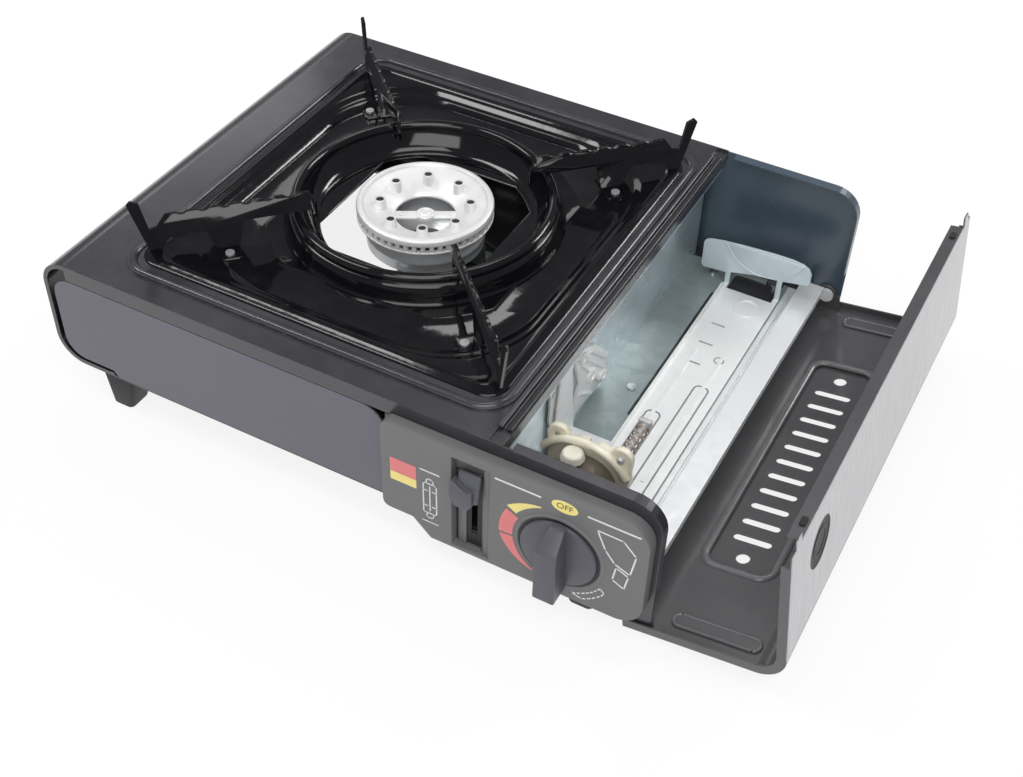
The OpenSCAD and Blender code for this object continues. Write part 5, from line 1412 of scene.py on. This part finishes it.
@dataclass
class DripPan:
    """The enamelled pan with its ring and pot supports. Its heights are measured from the deck.

    Attributes:
        shop: The workshop.
        centre: Middle of the pan, on the deck's face.
        size: Width and length of the pan.
        supports: Nodes of the pot supports.
        support_edge: Rounding of the supports' edges.
        corner_steps: Segments of a corner of the pressing.
        fan: Inset and corner radius of the loop whose points the round loops are in line with.
        slopes: Inset, corner radius and height of the upper face's loops, from the rolled edge inwards.
        dish: Radius and height of the round loops, inwards along the upper face and back below it.
        under: Inset, corner radius and height of the lower face's loops, outwards.
        lip: The wind ring's outer wall, from its foot up.
        crest: Radius and height of the middle of the ring's roll, and the roll's radius.
        crest_span: First and last angle of the roll, in degrees.
        throat: The ring's inner wall, down to the hole and back below it.
    """

    shop: Workshop
    centre: Point = (-25.6, 0.0, 89.0)
    size: Flat = (212.0, 223.97)
    supports: tuple[str, ...] = ("pan_support_1", "pan_support_2", "pan_support_3", "pan_support_4")
    support_edge: float = 0.3
    corner_steps: int = 16
    fan: Flat = (17.0, 32.0)
    slopes: tuple[Point, ...] = (
        (0.0, 12.0, 0.02), (0.2, 12.0, 0.4), (1.2, 12.2, 0.8), (3.6, 12.6, 1.45), (4.4, 12.8, 1.85),
        (5.0, 13.0, 1.9), (5.6, 13.2, 1.75), (6.1, 13.6, 1.2), (6.6, 30.0, 0.98), (7.6, 50.0, 0.9),
        (8.4, 51.0, 0.55), (10.2, 50.4, -0.9), (11.2, 50.0, -1.35), (12.4, 49.6, -1.5), (13.0, 52.0, -1.75),
        (15.2, 54.0, -4.2), (16.2, 54.0, -4.85), (17.4, 54.0, -5.0))
    dish: Outline = ((87.0, -5.0), (85.6, -4.3), (84.6, -4.1), (83.6, -4.3), (82.2, -5.0), (75.0, -5.0),
                     (58.0, -5.0), (57.0, -5.3), (56.4, -5.95), (75.0, -5.95), (87.0, -5.95))
    under: tuple[Point, ...] = (
        (17.6, 54.0, -5.95), (13.4, 51.0, -3.2), (12.6, 48.6, -2.5), (10.6, 49.4, -2.2), (8.2, 49.8, -0.3),
        (7.0, 46.0, -0.04), (2.2, 11.0, 0.02))
    lip: Outline = ((75.9, -4.9), (74.9, -4.2), (74.2, -2.5), (73.4, 3.0), (72.4, 5.4), (71.2, 6.4))
    crest: Point = (68.6, 8.05, 2.9)
    crest_span: Flat = (-35.0, 205.0)
    throat: Outline = ((65.4, 5.4), (63.6, 2.2), (61.0, -1.6), (59.2, -3.2), (58.2, -3.6), (57.4, -4.2),
                       (57.2, -4.95), (58.4, -4.95), (59.0, -4.5), (62.0, -2.4), (66.6, 4.6), (70.4, 5.2),
                       (72.0, 2.6), (73.0, -3.0), (74.0, -4.95), (75.9, -4.95), (75.9, -4.9))

    def build(self) -> None:
        """Presses the pan and the ring, softens the supports and dresses the rivets."""
        self.pan()
        self.ring()
        for support in self.supports:
            self.shop.softened(support, support + "_sheet", ENAMEL, "pan", Slot.ENAMEL, self.support_edge,
                               1)
        self.shop.dress(("pan_rivets",), PIN_STEEL)

    def loop(self, inset: float, r: float, rise: float) -> list[Point]:
        """One loop of the pressing: a rounded rectangle.

        Args:
            inset: Distance inside the pan's outline.
            r: Radius of its corners.
            rise: Its height above the deck.

        Returns:
            The loop's points.
        """
        x, y, z = self.centre
        w, l = self.size
        return [(x + px, y + py, z + rise)
                for px, py in rounded_loop(w - 2 * inset, l - 2 * inset, r, self.corner_steps)]

    def circle(self, r: float, rise: float) -> list[Point]:
        """One round loop, with its points in line with those of the rounded rectangles.

        Args:
            r: Its radius.
            rise: Its height above the deck.

        Returns:
            The loop's points.
        """
        x, y, z = self.centre
        angles = [math.atan2(py - y, px - x) for px, py, _ in self.loop(*self.fan, 0.0)]
        return [(x + r * math.cos(a), y + r * math.sin(a), z + rise) for a in angles]

    def pan(self) -> None:
        """Presses the pan: a rolled edge, a flat rim and a dish that steps down twice."""
        bm = bmesh.new()
        loops = [self.loop(*values) for values in self.slopes]
        loops += [self.circle(*values) for values in self.dish]
        loops += [self.loop(*values) for values in self.under]
        lofted(bm, loops, closed=True)
        self.shop.piece("drip_pan_pressing", bm, ENAMEL, "pan", Slot.ENAMEL, ("drip_pan",), 50.0)

    def ring(self) -> None:
        """Rolls the wind ring, with its crest and the lip inside it."""
        profile = [*self.lip, *arc_points(*self.crest, *self.crest_span, 16), *self.throat]
        bm = bmesh.new()
        spun(bm, profile, self.centre, UP, 144)
        self.shop.piece("wind_ring_rolled", bm, ENAMEL, "pan", Slot.ENAMEL, ("wind_ring",), 60.0)


@dataclass
class Controls:
    """The control panel, its markings, the knob and the lock lever.

    Attributes:
        shop: The workshop.
        front: Y of the panel's face.
        panel_edge: Rounding of the panel's edges.
        knob: X and Z of the knob.
        dial: Radius of its dial.
        grip_half: Half of the grip's width and of its height.
        grip_pinch: Share of its width that the grip keeps at its top.
        collar: Inner radius of the collar round the dial.
        lever_x: Middle of the lever.
        pivot: Y and Z of the lever's shaft.
        lever_half: Half of the lever's swing, in degrees.
        hood: Outline of the lever's hood, in X and Z from its middle.
        hood_y: Front and back of the hood, from the panel's face.
        stem: Lowest and highest corner of the block behind the hood, from the lever's middle.
        lining: Left, right, depth and top of the ribs and cheeks that line the channel.
        lining_foot: Their lowest height.
        lining_back: Their back, from the panel's face.
        shades: Left, right, bottom and top of the black strips in the channel, a painted shade for the slot's
            dark inside.
        shade_y: Front and back of the strips, from the panel's face.
        print_depth: Thickness of the print.
        off: Middle of the oval, in X and Z.
        off_half: Half of the oval's width and height.
        off_size: Height of the word's letters, in metres.
        tube: X of the middle of the cartridge's outline.
        pane: Outline of the larger window of the setting marks.
        small_pane: Outline of the smaller one.
    """

    shop: Workshop
    front: float = -142.48
    panel_edge: float = 0.9
    knob: Flat = (130.0, 43.8)
    dial: float = 19.6
    grip_half: Flat = (5.5, 20.4)
    grip_pinch: float = 0.72
    collar: float = 21.2
    lever_x: float = 83.0
    pivot: Flat = (-61.98, 46.0)
    lever_half: float = 11.5
    hood: Outline = ((-8.6, -6.4), (-5.8, -11.4), (1.4, -11.8), (3.8, -8.0), (3.4, 0.2), (0.6, -0.6),
                     (-3.4, 0.6), (-7.4, 3.4), (-8.8, 2.6))
    hood_y: Flat = (-6.6, -0.7)
    stem: tuple[Point, Point] = ((-6.0, -3.8, -8.0), (5.8, -0.6, 8.4))
    lining: tuple[Box, ...] = ((74.4, 79.0, 4.0, 66.0), (87.4, 89.6, 4.0, 66.0), (89.4, 93.0, 1.6, 78.0),
                               (79.0, 87.4, 2.9, 16.6))
    lining_foot: float = 15.2
    lining_back: float = 5.4
    shades: tuple[Box, ...] = ((78.8, 81.4, 16.2, 66.0), (84.6, 87.6, 16.2, 66.0), (81.4, 84.6, 16.2, 25.0),
                               (72.6, 74.6, 15.2, 66.0))
    shade_y: Flat = (4.9, 5.4)
    print_depth: float = 0.12
    off: Flat = (131.4, 75.2)
    off_half: Flat = (6.6, 3.7)
    off_size: float = 4.8 * MM
    tube: float = 61.4
    pane: Outline = ((148.0, 69.4), (160.8, 69.0), (167.6, 62.0), (165.6, 48.6), (157.6, 52.0),
                     (152.6, 58.6))
    small_pane: Outline = ((158.6, 49.8), (165.0, 46.8), (163.4, 37.4), (157.4, 40.8))

    def build(self) -> None:
        """Moulds the controls and prints the markings."""
        self.shop.softened("control_panel", "panel_moulding", PANEL, "case", Slot.PANEL, self.panel_edge, 3)
        self.shop.dress(("lever_arm", "lever_crank"), ZINC_LIT)
        self.knob_moulding()
        self.dial_rings()
        self.lever_head()
        self.channel()
        self.markings()
        self.cartridge_mark()
        self.off_word()

    def knob_moulding(self) -> None:
        """Moulds the knob: a thin dial with a tapered bar as its grip."""
        x, z = self.knob
        r, y = self.dial, self.front
        bm = bmesh.new()
        profile = [(0.0, -0.9), (3.03, -0.9), (3.03, 0.6), (r - 1.0, 0.6), (r, 0.2), (r, -0.9),
                   (r - 0.3, -1.5), (r - 1.0, -1.8), (0.0, -1.8)]
        spun(bm, profile, (x, y, z), BACK, 96)
        half, high = self.grip_half
        outline = [(-1.5, -high), (-14.2, -high), (-15.0, 1.2 - high), (-15.0, high - 8.0),
                   (-14.0, high - 6.6), (-4.6, high - 0.6), (-1.5, high)]
        verts = extruded(bm, [(x - half, y + dy, z + dz) for dy, dz in outline], (2 * half, 0.0, 0.0))
        for vert in verts:
            if vert.co.z > z + high - 2.0:
                vert.co.x = x + (vert.co.x - x) * self.grip_pinch
        rounded_edges(bm, verts, 0.8, 3, 20.0)
        self.shop.piece("knob_moulding", bm, KNOB, "knob", Slot.KNOB, ("control_knob",))

    def dial_rings(self) -> None:
        """Moulds the panel's collar round the dial, and a black ring in the gap between them, a painted shade
        for the gap.
        """
        place = (self.knob[0], self.front, self.knob[1])
        inner, gap = self.collar, self.dial + 0.1
        bm = bmesh.new()
        spun(bm, [(inner, 0.9), (inner, -0.2), (inner + 0.3, -0.4), (22.5, -0.4), (23.4, -0.1), (23.4, 0.9),
                  (inner, 0.9)], place, BACK, 96)
        self.shop.piece("dial_collar", bm, PANEL, "case", Slot.PANEL)
        bm = bmesh.new()
        spun(bm, [(gap, 1.1), (gap, -0.3), (inner, -0.3), (inner, 1.1), (gap, 1.1)], place, BACK, 96)
        self.shop.piece("dial_gap_shade", bm, SHADE, "case", Slot.PANEL)

    def lever_head(self) -> None:
        """Moulds the lever's head: a hooded grip with a hollow upper edge, on a rounded block."""
        x, y, z = self.lever_x, self.front, self.pivot[1]
        near, far = self.hood_y
        bm = bmesh.new()
        verts = extruded(bm, [(x + dx, y + near, z + dz) for dx, dz in self.hood], (0.0, far - near, 0.0))
        for vert in verts:
            if vert.co.y < y - 6.0:
                vert.co.y += 0.2 * max(0.0, z - 3.0 - vert.co.z)
        rounded_edges(bm, verts, 0.7, 3, 40.0)
        low, high = [(x + dx, y + dy, z + dz) for dx, dy, dz in self.stem]
        rounded_edges(bm, block(bm, low, high), 1.5, 5)
        turned(bm, bm.verts[:], (0.0, self.pivot[0], z), -self.lever_half, "X")
        self.shop.piece("lever_head_moulding", bm, KNOB, "lever", Slot.KNOB, ("lock_lever",))

    def channel(self) -> None:
        """Adds what lines the lever's channel: ribs, a flat cheek, a foot, and black strips between them that
        stand for the shade in the slot (painted shade).
        """
        y = self.front
        bm = bmesh.new()
        for left, right, deep, high in self.lining:
            verts = block(bm, (left, y + deep, self.lining_foot), (right, y + self.lining_back, high))
            rounded_edges(bm, verts, 0.5)
        self.shop.piece("channel_lining", bm, PANEL, "case", Slot.PANEL)
        bm = bmesh.new()
        verts = []
        for left, right, low, high in self.shades:
            verts += block(bm, (left, y + self.shade_y[0], low), (right, y + self.shade_y[1], high))
        rounded_edges(bm, verts, 0.05, 1)
        self.shop.piece("channel_shade", bm, SHADE, "case", Slot.PANEL)

    def stroke(self, x0: float, z0: float, x1: float, z1: float, w: float) -> list[Flat]:
        """Outline of a straight stroke between two points.

        Args:
            x0: X of its start.
            z0: Z of its start.
            x1: X of its end.
            z1: Z of its end.
            w: Half of its width.

        Returns:
            The four points, in X and Z.
        """
        way = Vector((x1 - x0, z1 - z0)).normalized()
        side = Vector((-way.y, way.x)) * w
        end = way * w
        return [(x0 + side.x - end.x, z0 + side.y - end.y), (x0 - side.x - end.x, z0 - side.y - end.y),
                (x1 - side.x + end.x, z1 - side.y + end.y), (x1 + side.x + end.x, z1 + side.y + end.y)]

    def outline_of(self, points: Sequence[Flat], w: float = 0.4, closed: bool = True) -> list[list[Flat]]:
        """Strokes of half width w along the sides of an outline."""
        ends = list(points[1:]) + (list(points[:1]) if closed else [])
        return [self.stroke(*a, *b, w) for a, b in zip(points, ends)]

    def band(self, r0: float, r1: float, start: float, end: float, tail: float = 0.0) -> list[Flat]:
        """Outline of a band round the knob.

        Args:
            r0: Inner radius.
            r1: Outer radius at the start.
            start: First angle, in degrees.
            end: Last angle, in degrees.
            tail: How much smaller the outer radius is at the end.

        Returns:
            The outline.
        """
        x, z = self.knob
        steps = 18
        outer = []
        for i in range(steps + 1):
            a = math.radians(start + (end - start) * i / steps)
            r = r1 - tail * i / steps
            outer.append((x + r * math.cos(a), z + r * math.sin(a)))
        return outer + arc_points(x, z, r0, end, start, steps)

    def mark(self, name: str, finish: Finish, outlines: Sequence[Sequence[Flat]]) -> None:
        """Prints one mark on the panel's face.

        Args:
            name: The piece's name.
            finish: Its finish.
            outlines: The outlines that it is made of, in X and Z.
        """
        bm = bmesh.new()
        for outline in outlines:
            plate(bm, outline, self.front, self.print_depth)
        self.shop.piece(name, bm, finish, "case", Slot.PANEL)

    def markings(self) -> None:
        """Prints the plain marks on the panel."""
        x, z = self.knob
        self.mark("mark_rules", PRINT_WHITE,
                  [self.stroke(96.4, 75.5, 119.0, 75.5, 0.5), self.stroke(143.2, 75.5, 168.2, 75.5, 0.5)])
        self.mark("mark_flame_arcs", PRINT_RED,
                  [self.band(24.2, 31.4, 152, 184), self.band(24.2, 31.4, 186.5, 238, 6.6)])
        self.mark("mark_flame_wedge", PRINT_YELLOW, [self.band(26.6, 32.4, 148, 112, 5.2)])
        oval = [(self.off[0] + self.off_half[0] * math.cos(a), self.off[1] + self.off_half[1] * math.sin(a))
                for a in (math.tau * i / 40 for i in range(40))]
        self.mark("mark_off_oval", PRINT_YELLOW, [oval])
        self.mark("mark_label_red", PRINT_RED, [[(39.6, 51.4), (54.0, 51.4), (54.0, 60.4), (39.6, 60.4)]])
        self.mark("mark_label_yellow", PRINT_YELLOW,
                  [[(39.6, 45.6), (54.0, 45.6), (54.0, 51.2), (39.6, 51.2)]])
        crescent = arc_points(x, z, 25.6, -72, -30, 7) + arc_points(x, z, 29.0, -33, -63, 5)
        settings = self.outline_of(self.pane) + self.outline_of(self.small_pane)
        self.mark("mark_settings", PRINT_WHITE, settings + self.outline_of(crescent, 0.35))

    def cartridge_mark(self) -> None:
        """Prints the outline of a cartridge beside the lever, between two rules."""
        x = self.tube
        body = [(x - 3.6, 32.0), (x + 3.6, 32.0), (x + 3.6, 52.6), (x - 3.6, 52.6)]
        neck = [(x - 1.8, 52.6), (x - 1.8, 55.8), (x + 1.8, 55.8), (x + 1.8, 52.6)]
        foot = [(x - 1.8, 32.0), (x - 1.8, 28.8), (x + 1.8, 28.8), (x + 1.8, 32.0)]
        lines = self.outline_of(body, 0.35)
        lines += [self.stroke(x - 3.6, 37.0, x - 1.4, 37.0, 0.3),
                  self.stroke(x + 1.4, 37.0, x + 3.6, 37.0, 0.3), self.stroke(x, 34.0, x, 50.6, 0.3),
                  self.stroke(x - 3.6, 47.6, x - 1.4, 47.6, 0.3),
                  self.stroke(x + 1.4, 47.6, x + 3.6, 47.6, 0.3)]
        lines += self.outline_of(neck, 0.3, False) + self.outline_of(foot, 0.3, False)
        lines += [self.stroke(x - 5.0, 60.8, x + 5.0, 60.8, 0.4),
                  self.stroke(x - 4.2, 25.6, x + 4.2, 25.6, 0.3)]
        self.mark("mark_cartridge", PRINT_WHITE, lines)

    def off_word(self) -> None:
        """Writes OFF in the oval, as flat letters."""
        curve = bpy.data.curves.new("off_word", "FONT")
        curve.body = "OFF"
        curve.size = self.off_size
        curve.align_x, curve.align_y = "CENTER", "CENTER"
        curve.extrude = 0.05 * MM
        word = bpy.data.objects.new("off_word", curve)
        bpy.context.scene.collection.objects.link(word)
        mesh = bpy.data.meshes.new_from_object(word.evaluated_get(bpy.context.evaluated_depsgraph_get()))
        bpy.data.objects.remove(word)
        place = placed(self.off[0], self.front - self.print_depth - 0.04, self.off[1])
        mesh.transform(Matrix.Translation(place) @ Matrix.Rotation(math.pi / 2, 4, "X"))
        mesh.materials.clear()
        mesh.materials.append(self.shop.material(PRINT_DARK))
        made = bpy.data.objects.new("mark_off_word", mesh)
        bpy.context.scene.collection.objects.link(made)
        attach(made, "case")
        LOG.info("made %s on %s, %d faces", made.name, "case", len(mesh.polygons))


@dataclass
class Lid:
    """The lid of the bay. It is drawn closed, and then turned open round its hinge pins.

    Attributes:
        shop: The workshop.
        pin: X and Z of the hinge pins.
        open_angle: Angle through which it opens, in degrees.
        top_reach: Distance of the top panel's outer face from the hinge line, with the lid open.
        corner_start: Distance below the hinge line at which that face turns into the rounded corner.
        side_in: X of the side panel's inner face.
        field: Height of the middle of the slots' field, and its width and length.
        field_r: Radius of the field's corners.
        rim_section: Half of the rim's width, and its height.
        bar: Width and length of the short pressed bars, and the radius of their corners.
        bar_place: Height of the bars above the hinge line, and their distance from the lid's ends.
        bar_bead: Radius of the bead round a bar, and how far its middle stands off the side panel.
        half: Half of the lid's length.
        left_x: X of the free edge.
        top_z: Height of the top panel's outer face.
        cup: X of the finger cup, and its distance from the lid's front end.
        cup_profile: Radius of each point of the cup, and its height above the top panel.
        pad: Lowest and highest corner of a buffer, from the free edge, its middle and the top panel.
        pad_end: Distance of the buffers from the lid's ends.
        hem_r: Radius of the rolled hem.
        hem_end: Distance of the hem from the lid's ends.
    """

    shop: Workshop
    pin: Flat = (168.0, 15.5)
    open_angle: float = 82.7
    top_reach: float = 74.4
    corner_start: float = -3.4
    side_in: float = 178.6
    field: Point = (44.5, 36.0, 168.0)
    field_r: float = 8.0
    rim_section: Flat = (2.2, 1.5)
    bar: Point = (43.0, 7.2, 3.2)
    bar_place: Flat = (36.0, 13.0)
    bar_bead: Flat = (0.9, 0.7)
    half: float = 136.48
    left_x: float = 98.5
    top_z: float = 89.9
    cup: Flat = (124.5, 38.0)
    cup_profile: Outline = ((0.0, -0.5), (12.95, -0.5), (12.95, -0.02), (12.3, 0.0), (11.7, -0.3),
                            (8.6, -0.44), (7.9, -0.16), (7.0, -0.1), (6.3, -0.4), (0.0, -0.46))
    pad: tuple[Point, Point] = ((-1.3, -2.6, -4.6), (0.1, 2.6, -1.8))
    pad_end: float = 22.0
    hem_r: float = 0.9
    hem_end: float = 12.0

    def build(self) -> None:
        """Dresses the lid, and adds its rims, hem, finger cup and buffers."""
        finish = self.finish()
        self.shop.dress(("lid",), finish)
        self.field_rim()
        self.hem(finish)
        self.finger_cup()
        self.buffers()

    def finish(self) -> LidFinish:
        """The lid's paint, with the hairline face placed for the open lid."""
        a = math.radians(self.open_angle)
        pivot = placed(self.pin[0], 0.0, self.pin[1])
        return LidFinish(
            "lid_paint", (0.058, 0.058, 0.061), (0.088, 0.088, 0.093), rough=(0.3, 0.42), coat=0.5,
            coat_rough=0.14, bump=0.02, grain=2200, wear=(0.3, 0.3, 0.31), wear_share=0.4, pivot=tuple(pivot),
            out=(math.sin(a), 0.0, math.cos(a)), reach=self.top_reach * MM,
            down=(math.cos(a), 0.0, -math.sin(a)), end=self.corner_start * MM)

    def opened(self, name: str, bm: Shape, finish: Finish, slot: Slot = Slot.CASE,
               replaces: Sequence[str] = (), smooth: float = 60.0) -> None:
        """Opens a shape that is drawn on the closed lid, and makes it a piece. See Workshop.piece."""
        turned(bm, bm.verts[:], (self.pin[0], 0.0, self.pin[1]), self.open_angle, "Y")
        self.shop.piece(name, bm, finish, "lid", slot, replaces, smooth)

    def field_rim(self) -> None:
        """Adds the rounded rim round the pressed field of the slots, and the beads round the short bars, in a
        lighter paint that stands for their highlights (painted highlight).
        """
        middle, w, l = self.field
        bm = bmesh.new()
        loops = []
        for off, proud in half_round(*self.rim_section):
            loops.append([(self.side_in - proud + 0.05, y, middle + z)
                          for z, y in rounded_loop(w + 2 * off, l + 2 * off, self.field_r + off)])
        lofted(bm, loops, closed=True)
        bead, stand = self.bar_bead
        x, z = self.side_in - stand, self.pin[1] + self.bar_place[0]
        length, width, r = self.bar
        for side in (-1, 1):
            y = side * (self.half - self.bar_place[1])
            path = [(x, y + across, z + along) for along, across in rounded_loop(length, width, r, 6)]
            swept(bm, path + path[:1], bead)
        self.opened("lid_field_rim", bm, BEAD_HIGHLIGHT_PAINT)

    def finger_cup(self) -> None:
        """Presses the cup of the finger recess on the outside of the top panel, in the near-black shade
        finish: a painted shade for the recess.
        """
        x, inset = self.cup
        bm = bmesh.new()
        spun(bm, self.cup_profile, (x, inset - self.half, self.top_z), UP, 72)
        self.opened("finger_cup", bm, SHADE, smooth=20.0)

    def buffers(self) -> None:
        """Moulds the two small buffers under the free edge."""
        bm = bmesh.new()
        for side in (-1, 1):
            y = side * (self.half - self.pad_end)
            low, high = [(self.left_x + dx, y + dy, self.top_z + dz) for dx, dy, dz in self.pad]
            rounded_edges(bm, block(bm, low, high), 0.5, 3)
        self.opened("lid_buffer_pads", bm, RUBBER, Slot.RUBBER, ("lid_buffers",), 35.0)

    def hem(self, finish: Finish) -> None:
        """Adds the rolled hem along the free edge.

        Args:
            finish: The lid's finish.
        """
        x, z, end = self.left_x + self.hem_r, self.top_z - self.hem_r, self.half - self.hem_end
        bm = bmesh.new()
        swept(bm, [(x, -end, z), (x, end, z)], self.hem_r)
        self.opened("lid_hem", bm, finish)


# ---- Stage


@dataclass
class Softbox:
    """One white area light that looks at the stove.

    Attributes:
        name: The light's name.
        place: Its middle, in metres.
        size: Its width and length, in metres.
        radiance: How bright its face is.
        target: The point that it looks at, in metres.
    """

    name: str
    place: Point
    size: Flat
    radiance: float
    target: Point = (0.0, 0.0, 0.06)

    def build(self) -> None:
        """Makes the light."""
        light = bpy.data.lights.new(self.name, "AREA")
        light.shape = "RECTANGLE"
        light.size, light.size_y = self.size
        light.energy = self.radiance * math.pi * self.size[0] * self.size[1]
        made = bpy.data.objects.new(self.name, light)
        bpy.context.scene.collection.objects.link(made)
        made.location = self.place
        made.rotation_euler = (Vector(self.target) - Vector(self.place)).to_track_quat("-Z", "Y").to_euler()


@dataclass
class Studio:
    """Camera, floor, lights and world.

    Attributes:
        eye: The camera's place, in case millimetres.
        yaw: Turn of the camera to the left, in radians.
        pitch: How far it looks down, in radians.
        roll: Its roll, in radians.
        lens: Its focal length, in millimetres.
        sensor: Width of its sensor, in millimetres.
        floor_half: Half of the floor's side, in metres.
        floor_pale: The floor's two tones.
        floor_glow: Share of the floor's look that is plain white, where the camera or a gloss sees it.
        air: Colour of the light from all round.
        air_seen: The same, as a gloss sees it.
        lights: The lights.
    """

    eye: Point = (300.9, -530.6, 549.3)
    yaw: float = 0.47202
    pitch: float = 0.76078
    roll: float = 0.03491
    lens: float = 50.29
    sensor: float = 36.0
    floor_half: float = 6.0
    floor_pale: tuple[Colour, Colour] = ((0.9, 0.9, 0.9), (0.88, 0.88, 0.885))
    floor_glow: float = 0.85
    air: Colour = (0.4, 0.405, 0.42)
    air_seen: Colour = (0.2, 0.203, 0.212)
    lights: list[Softbox] = field(default_factory=lambda: [
        Softbox("overhead_box", (-2.3, 2.1, 1.75), (1.0, 0.6), 1.9),
        Softbox("top_box", (-0.4, 1.25, 2.15), (0.6, 0.5), 5.0),
        Softbox("high_box", (0.6, -0.9, 2.4), (1.6, 1.2), 3.6),
        Softbox("key_strip", (-1.5, -0.2, 2.0), (0.4, 1.4), 9.0),
        Softbox("back_strip", (0.9, 1.7, 1.5), (0.9, 0.3), 16.0),
        Softbox("front_fill", (0.8, -2.4, 1.8), (2.2, 1.4), 3.2),
    ])

    def build(self) -> None:
        """Makes the whole stage."""
        self.camera()
        self.floor()
        self.world()
        for light in self.lights:
            light.build()
        bpy.context.scene.view_settings.view_transform = "Standard"

    def camera(self) -> None:
        """Makes the camera at the viewing angle."""
        cy, sy = math.cos(self.yaw), math.sin(self.yaw)
        cp, sp = math.cos(self.pitch), math.sin(self.pitch)
        ahead = Vector((-sy * cp, cy * cp, -sp))
        right = Vector((cy, sy, 0.0))
        up = right.cross(ahead)
        side = right * math.cos(self.roll) + up * math.sin(self.roll)
        top = up * math.cos(self.roll) - right * math.sin(self.roll)
        data = bpy.data.cameras.new("studio_camera")
        data.lens, data.sensor_width = self.lens, self.sensor
        data.clip_start, data.clip_end = 0.01, 50.0
        made = bpy.data.objects.new("studio_camera", data)
        bpy.context.scene.collection.objects.link(made)
        turn = Matrix((side, top, -ahead)).transposed().to_4x4()
        made.matrix_world = Matrix.Translation(placed(*self.eye)) @ turn
        bpy.context.scene.camera = made

    def floor(self) -> None:
        """Makes the pale floor, which keeps the stove's shadow."""
        bm = bmesh.new()
        bmesh.ops.create_grid(bm, x_segments=1, y_segments=1, size=self.floor_half)
        mesh = bpy.data.meshes.new("studio_floor")
        bm.to_mesh(mesh)
        bm.free()
        made = bpy.data.materials.new("floor_pale")
        made.use_nodes = True
        made.node_tree.nodes.clear()
        t = Tree(made.node_tree)
        rays = t.node("LightPath")
        seen = t.math("MAXIMUM", rays.outputs["Is Camera Ray"], rays.outputs["Is Glossy Ray"])
        seen = t.math("MAXIMUM", seen, rays.outputs["Is Transmission Ray"])
        grain = t.node("TexNoise", {"Vector": t.node("TexCoord").outputs["Object"], "Scale": 3.0})
        pale = t.mix(t.span(grain.outputs[0], 0.3, 0.7), *self.floor_pale)
        plain = t.node("BsdfDiffuse", {"Color": pale})
        glow = t.node("Emission", {"Color": (1.0, 1.0, 1.0), "Strength": 1.0})
        share = t.math("MULTIPLY", seen, self.floor_glow)
        both = t.node("MixShader", {0: share, 1: plain.outputs[0], 2: glow.outputs[0]})
        t.feed(t.node("OutputMaterial").inputs[0], both.outputs[0])
        mesh.materials.append(made)
        floor = bpy.data.objects.new("studio_floor", mesh)
        bpy.context.scene.collection.objects.link(floor)

    def world(self) -> None:
        """Lights the surroundings with a plain soft grey."""
        world = bpy.data.worlds.new("studio_world")
        bpy.context.scene.world = world
        world.use_nodes = True
        world.node_tree.nodes.clear()
        t = Tree(world.node_tree)
        rays = t.node("LightPath")
        soft = t.mix(rays.outputs["Is Glossy Ray"], self.air, self.air_seen)
        back = t.node("Background", {"Color": soft, "Strength": 1.0})
        white = t.node("Background", {"Color": (1.0, 1.0, 1.0), "Strength": 1.0})
        seen = rays.outputs["Is Camera Ray"]
        both = t.node("MixShader", {0: seen, 1: back.outputs[0], 2: white.outputs[0]})
        t.feed(t.node("OutputWorld").inputs[0], both.outputs[0])


def main() -> None:
    """Builds every sub-assembly in order."""
    logging.basicConfig(level=logging.INFO, format="%(name)s: %(message)s")
    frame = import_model()
    shop = Workshop(frame)
    Studio().build()
    for kind in (CaseShell, CartridgeBay, Regulator, Burner, DripPan, Controls, Lid):
        kind(shop).build()
        LOG.info("built %s", kind.__name__)


if __name__ == "__main__":
    main()
